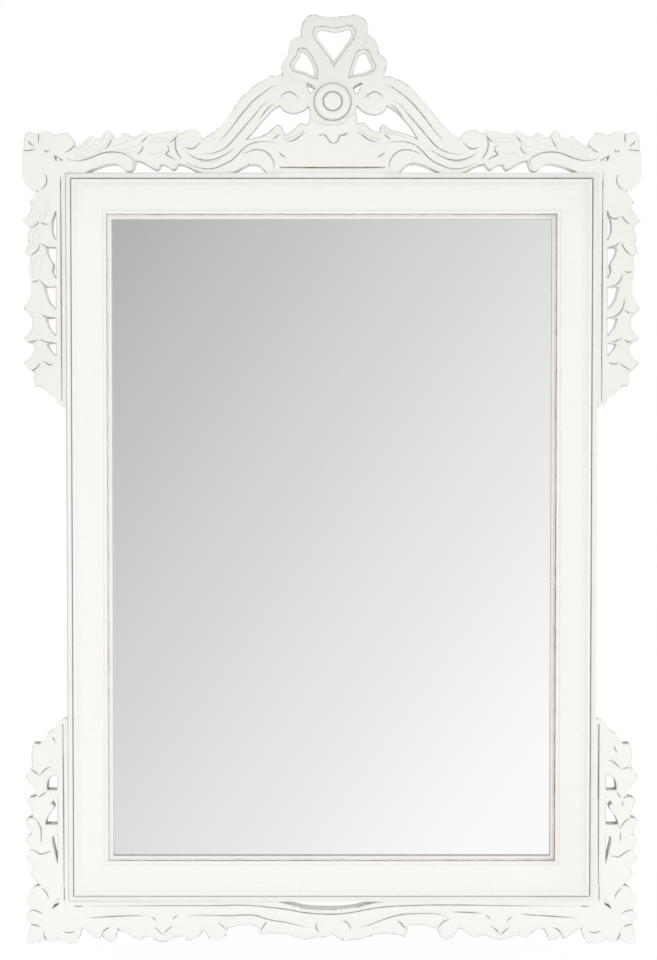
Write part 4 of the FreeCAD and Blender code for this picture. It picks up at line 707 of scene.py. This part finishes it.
# Long leaf drops beside the upper half of the stiles: leaves hung one under another, pierced
# along the stile and glued to it.
def down_upper_drop(spots):
    """The leaves hang down, and run level into the rosette."""
    share = np.clip((5.9 - spots[:, 1]) / 20, 0, 1)
    return np.stack([0 * share, -share], axis=1)


drop_veins = [
    [(41.4, 194.3), (37.1, 200), (30.7, 204.3)],
    [(45, 194.3), (43.6, 204.3), (37.1, 212.9), (28.6, 218.6)],
    [(47.9, 195.7), (47.1, 207.1), (40, 217.1), (32.1, 225)],
    [(50, 200), (49.3, 210), (43.6, 218.6), (37.1, 222.9)],
    [(38.6, 227.1), (34.3, 234.3), (32.9, 242.9), (28.6, 251.4)],
    [(41.4, 230), (37.9, 241.4), (32.9, 248.6)],
    [(38.6, 255), (34.3, 262), (33.6, 270), (32.9, 277)],
    [(44.3, 256), (41.4, 263), (40, 273)],
]
left_veins = [[on_upper(*spot) for spot in vein] for vein in drop_veins]
tip_lines = [
    [(631, 312.7), (636, 311.4), (639.4, 308.6)],
    [(633, 340), (637.4, 338.2)],
    [(632, 368.6), (635.5, 365.6), (638.6, 362)],
]
tip_lines = [[on_upper(*spot) for spot in line] for line in tip_lines]
left_seam = [on_upper(*spot) for spot in ((61.3, 190), (61.5, 295), (61.6, 400))]
right_seam = [on_upper(*spot) for spot in ((602.1, 190), (601.9, 295), (601.8, 400))]
carve("upper_left_drop", strokes=left_veins, fall=down_upper_drop, vein=0.34, seams=[left_seam])
carve("upper_right_drop", strokes=tip_lines, fall=down_upper_drop, seams=[right_seam])


# Shorter leaf drops beside the lower half of the stiles, with their tips upwards. Their sawn
# walls are painted dark grey.
def down_lower_drop(spots):
    """The leaves lie down towards the rosette, and run level into it."""
    share = np.clip((spots[:, 1] + 886.9) / 20, 0, 1)
    return np.stack([0 * share, -share], axis=1)


left_seam = [on_lower(*spot) for spot in ((63.3, 725), (63.6, 806), (63.7, 886))]
right_seam = [on_lower(*spot) for spot in ((598.8, 725), (598.5, 806), (598.8, 886))]
dark_seam = [on_lower(*spot) for spot in ((598.1, 724), (597.9, 760), (598, 800))]
carve("lower_left_drop", fall=down_lower_drop, seams=[left_seam], wall_tone=0.75, inner_reach=363)
carve("lower_right_drop", fall=down_lower_drop, seams=[right_seam, dark_seam], wall_tone=0.75, inner_reach=363)


# Rosettes on the lower corners, like the upper ones and with the same curled ball. They end
# the drops and the apron.
ball = on_lower(37.4, 900)
carve("lower_left_rosette", [(*ball, 13, 0.9)], wall_tone=0.75)
carve("lower_right_rosette", [(-ball[0], ball[1], 13, 0.9)], wall_tone=0.75)


# The apron under the bottom rail: two runs of leaves that meet in the middle, carved in one
# board with a long slot along the rail.
carve("apron", wall_tone=0.15, inner_reach=90)


# The looking glass: silvered float glass, 4 mm, with no bevel. It lies in the rebate of the
# rails.
glass_finish, shader, wire = new_finish("looking_glass")
place = place_in(wire)
haze = noise(place, 3.5, 4, 0.6)
give(shader, wire, Base_Color=(0.925, 0.93, 0.932), Metallic=1.0, Roughness=0.012 + haze * 0.012)
dress(glass_finish, "mirror_pane")


# Rubber setting blocks under the glass, and strips of grey card that centre it.
rubber, shader, wire = new_finish("black_rubber")
place = place_in(wire)
grain = noise(place, 900, 3, 0.6)
give(shader, wire, Base_Color=blend(grain, (0.03, 0.03, 0.031), (0.075, 0.074, 0.072)),
     Roughness=0.6 + grain * 0.2, Normal=bump(grain, 0.0002))
dress(rubber, "setting_blocks")

card, shader, wire = new_finish("grey_card")
place = place_in(wire)
fibre = noise(stretched(place, 300, 300, 900), 1, 4, 0.65)
give(shader, wire, Base_Color=blend(fibre, (0.42, 0.36, 0.28), (0.6, 0.54, 0.44)), Roughness=0.85,
     Normal=bump(fibre, 0.0002))
dress(card, "side_shims")


# The backing board: smooth brown hardboard in its own rebate, held by fourteen countersunk
# screws.
hardboard, shader, wire = new_finish("hardboard")
place = place_in(wire)
fibre = noise(place, 420, 4, 0.7)
flecks = noise(stretched(place, 90, 90, 160), 1, 3, 0.6)
cloud = noise(place, 5, 3, 0.6)
board_colour = blend((fibre * 0.8 + cloud * 0.5 - 0.2).clamped(), (0.2, 0.115, 0.06), (0.36, 0.235, 0.14))
give(shader, wire, Base_Color=blend((flecks - 0.62).above(0.02, 0.06) * 0.5, board_colour, (0.12, 0.07, 0.04)),
     Roughness=0.42 + fibre * 0.2, Normal=bump(fibre + flecks * 0.5, 0.00015))
dress(hardboard, "backing_board")


# Screws, strap hangers and D-rings: zinc-plated steel. The rings swing in the eyes of their
# straps.
zinc, shader, wire = new_finish("zinc_plated_steel")
place = place_in(wire)
cloud = noise(place, 260, 4, 0.6)
scratch = noise(stretched(place, 2500, 300, 300), 1, 2, 0.5)
give(shader, wire, Base_Color=blend(cloud, (0.72, 0.72, 0.7), (0.5, 0.51, 0.51)), Metallic=1.0,
     Roughness=0.3 + cloud * 0.2, Normal=bump(scratch + cloud, 0.00004))
dress(zinc, "board_screws", "left_hanger_strap", "right_hanger_strap", "left_hanger_ring", "right_hanger_ring",
      "strap_screws")


# Two round rubber bumpers, glued on the back of the bottom rail near its ends. They keep the
# frame off the wall.
dress(rubber, "wall_bumpers")


# A pale floor, white to the camera and in the glass, and plain soft light. The glass shows a
# room that is darker up to the left.
floor_finish, shader, wire = new_finish("pale_floor")
give(shader, wire, Base_Color=(0.94, 0.94, 0.93), Roughness=0.9)
camera_ray, glossy_ray, transmission_ray = [wire.add("LightPath", output=number) for number in (0, 3, 6)]
white = wire.add("Emission", inputs={"Color": (1, 1, 1), "Strength": 1.06})
mixed = wire.add("MixShader", inputs={0: camera_ray * 0.85, 1: Wire(wire.tree, shader.outputs[0]), 2: white})
through = wire.add("BsdfTransparent")
mixed = wire.add("MixShader", inputs={0: wire.maths("MAXIMUM", glossy_ray, transmission_ray), 1: mixed, 2: through})
wire.tree.links.new(mixed.socket, wire.tree.nodes["Material Output"].inputs[0])
mesh = bpy.data.meshes.new("floor")
floor_level = -1.0
corners = [(x, y, floor_level) for x, y in ((-3, -1), (3, -1), (3, 3), (-3, 3))]
mesh.from_pydata(corners, [], [(0, 1, 2, 3)])
mesh.materials.append(floor_finish)
floor = bpy.data.objects.new("floor", mesh)
bpy.context.collection.objects.link(floor)

world = bpy.data.worlds.new("soft_room")
bpy.context.scene.world = world
world.use_nodes = True
wire = Wire(world.node_tree)
way = wire.add("TexCoord", output=0)
x, y, z = split(way)
depth = wire.maths("MAXIMUM", wire.maths("ABSOLUTE", y), 0.25)
darkest, lightest = 0.36, 1.03
room = wire.maths("MAXIMUM", 0.725 + x / depth * 1.13 - z / depth * 0.82, darkest)
room = wire.maths("MINIMUM", room, lightest)
camera_ray, glossy_ray, transmission_ray = [wire.add("LightPath", output=number) for number in (0, 3, 6)]
ambient = 0.9 - z * 0.09
tone = ambient * (1 - glossy_ray) + room * glossy_ray
tone = tone * (1 - camera_ray) + camera_ray
background = world.node_tree.nodes["Background"]
wire.put(background.inputs["Color"], (1, 1, 1))
wire.put(background.inputs["Strength"], tone)

for name, spot, aim, width, height, power in (
        ("top_light", (0.4, -3.4, 2.9), (0, 0, -0.5), 3.0, 2.0, 10),
        ("low_light", (0, -2.6, -0.8), (0, 0, -0.6), 2.4, 0.8, 13)):
    lamp = bpy.data.lights.new(name, "AREA")
    lamp.shape, lamp.size, lamp.size_y, lamp.energy = "RECTANGLE", width, height, power
    light = bpy.data.objects.new(name, lamp)
    light.location = spot
    light.rotation_euler = (Vector(aim) - Vector(spot)).to_track_quat("-Z", "Y").to_euler()
    light.visible_glossy = False
    light.visible_camera = False
    bpy.context.collection.objects.link(light)

camera = bpy.data.objects.new("camera", bpy.data.cameras.new("camera"))
camera.location = (-0.0041, -2.206, -0.2979)
camera.rotation_euler = (math.radians(90 - 1.7), 0, 0)
sensor, focal_pixels, picture_height = 36, 1708, 960
camera.data.sensor_width = sensor
camera.data.lens = focal_pixels / picture_height * sensor
camera.data.clip_start, camera.data.clip_end = 0.05, 50
bpy.context.collection.objects.link(camera)
bpy.context.scene.camera = camera
bpy.context.scene.view_settings.view_transform = "Standard"
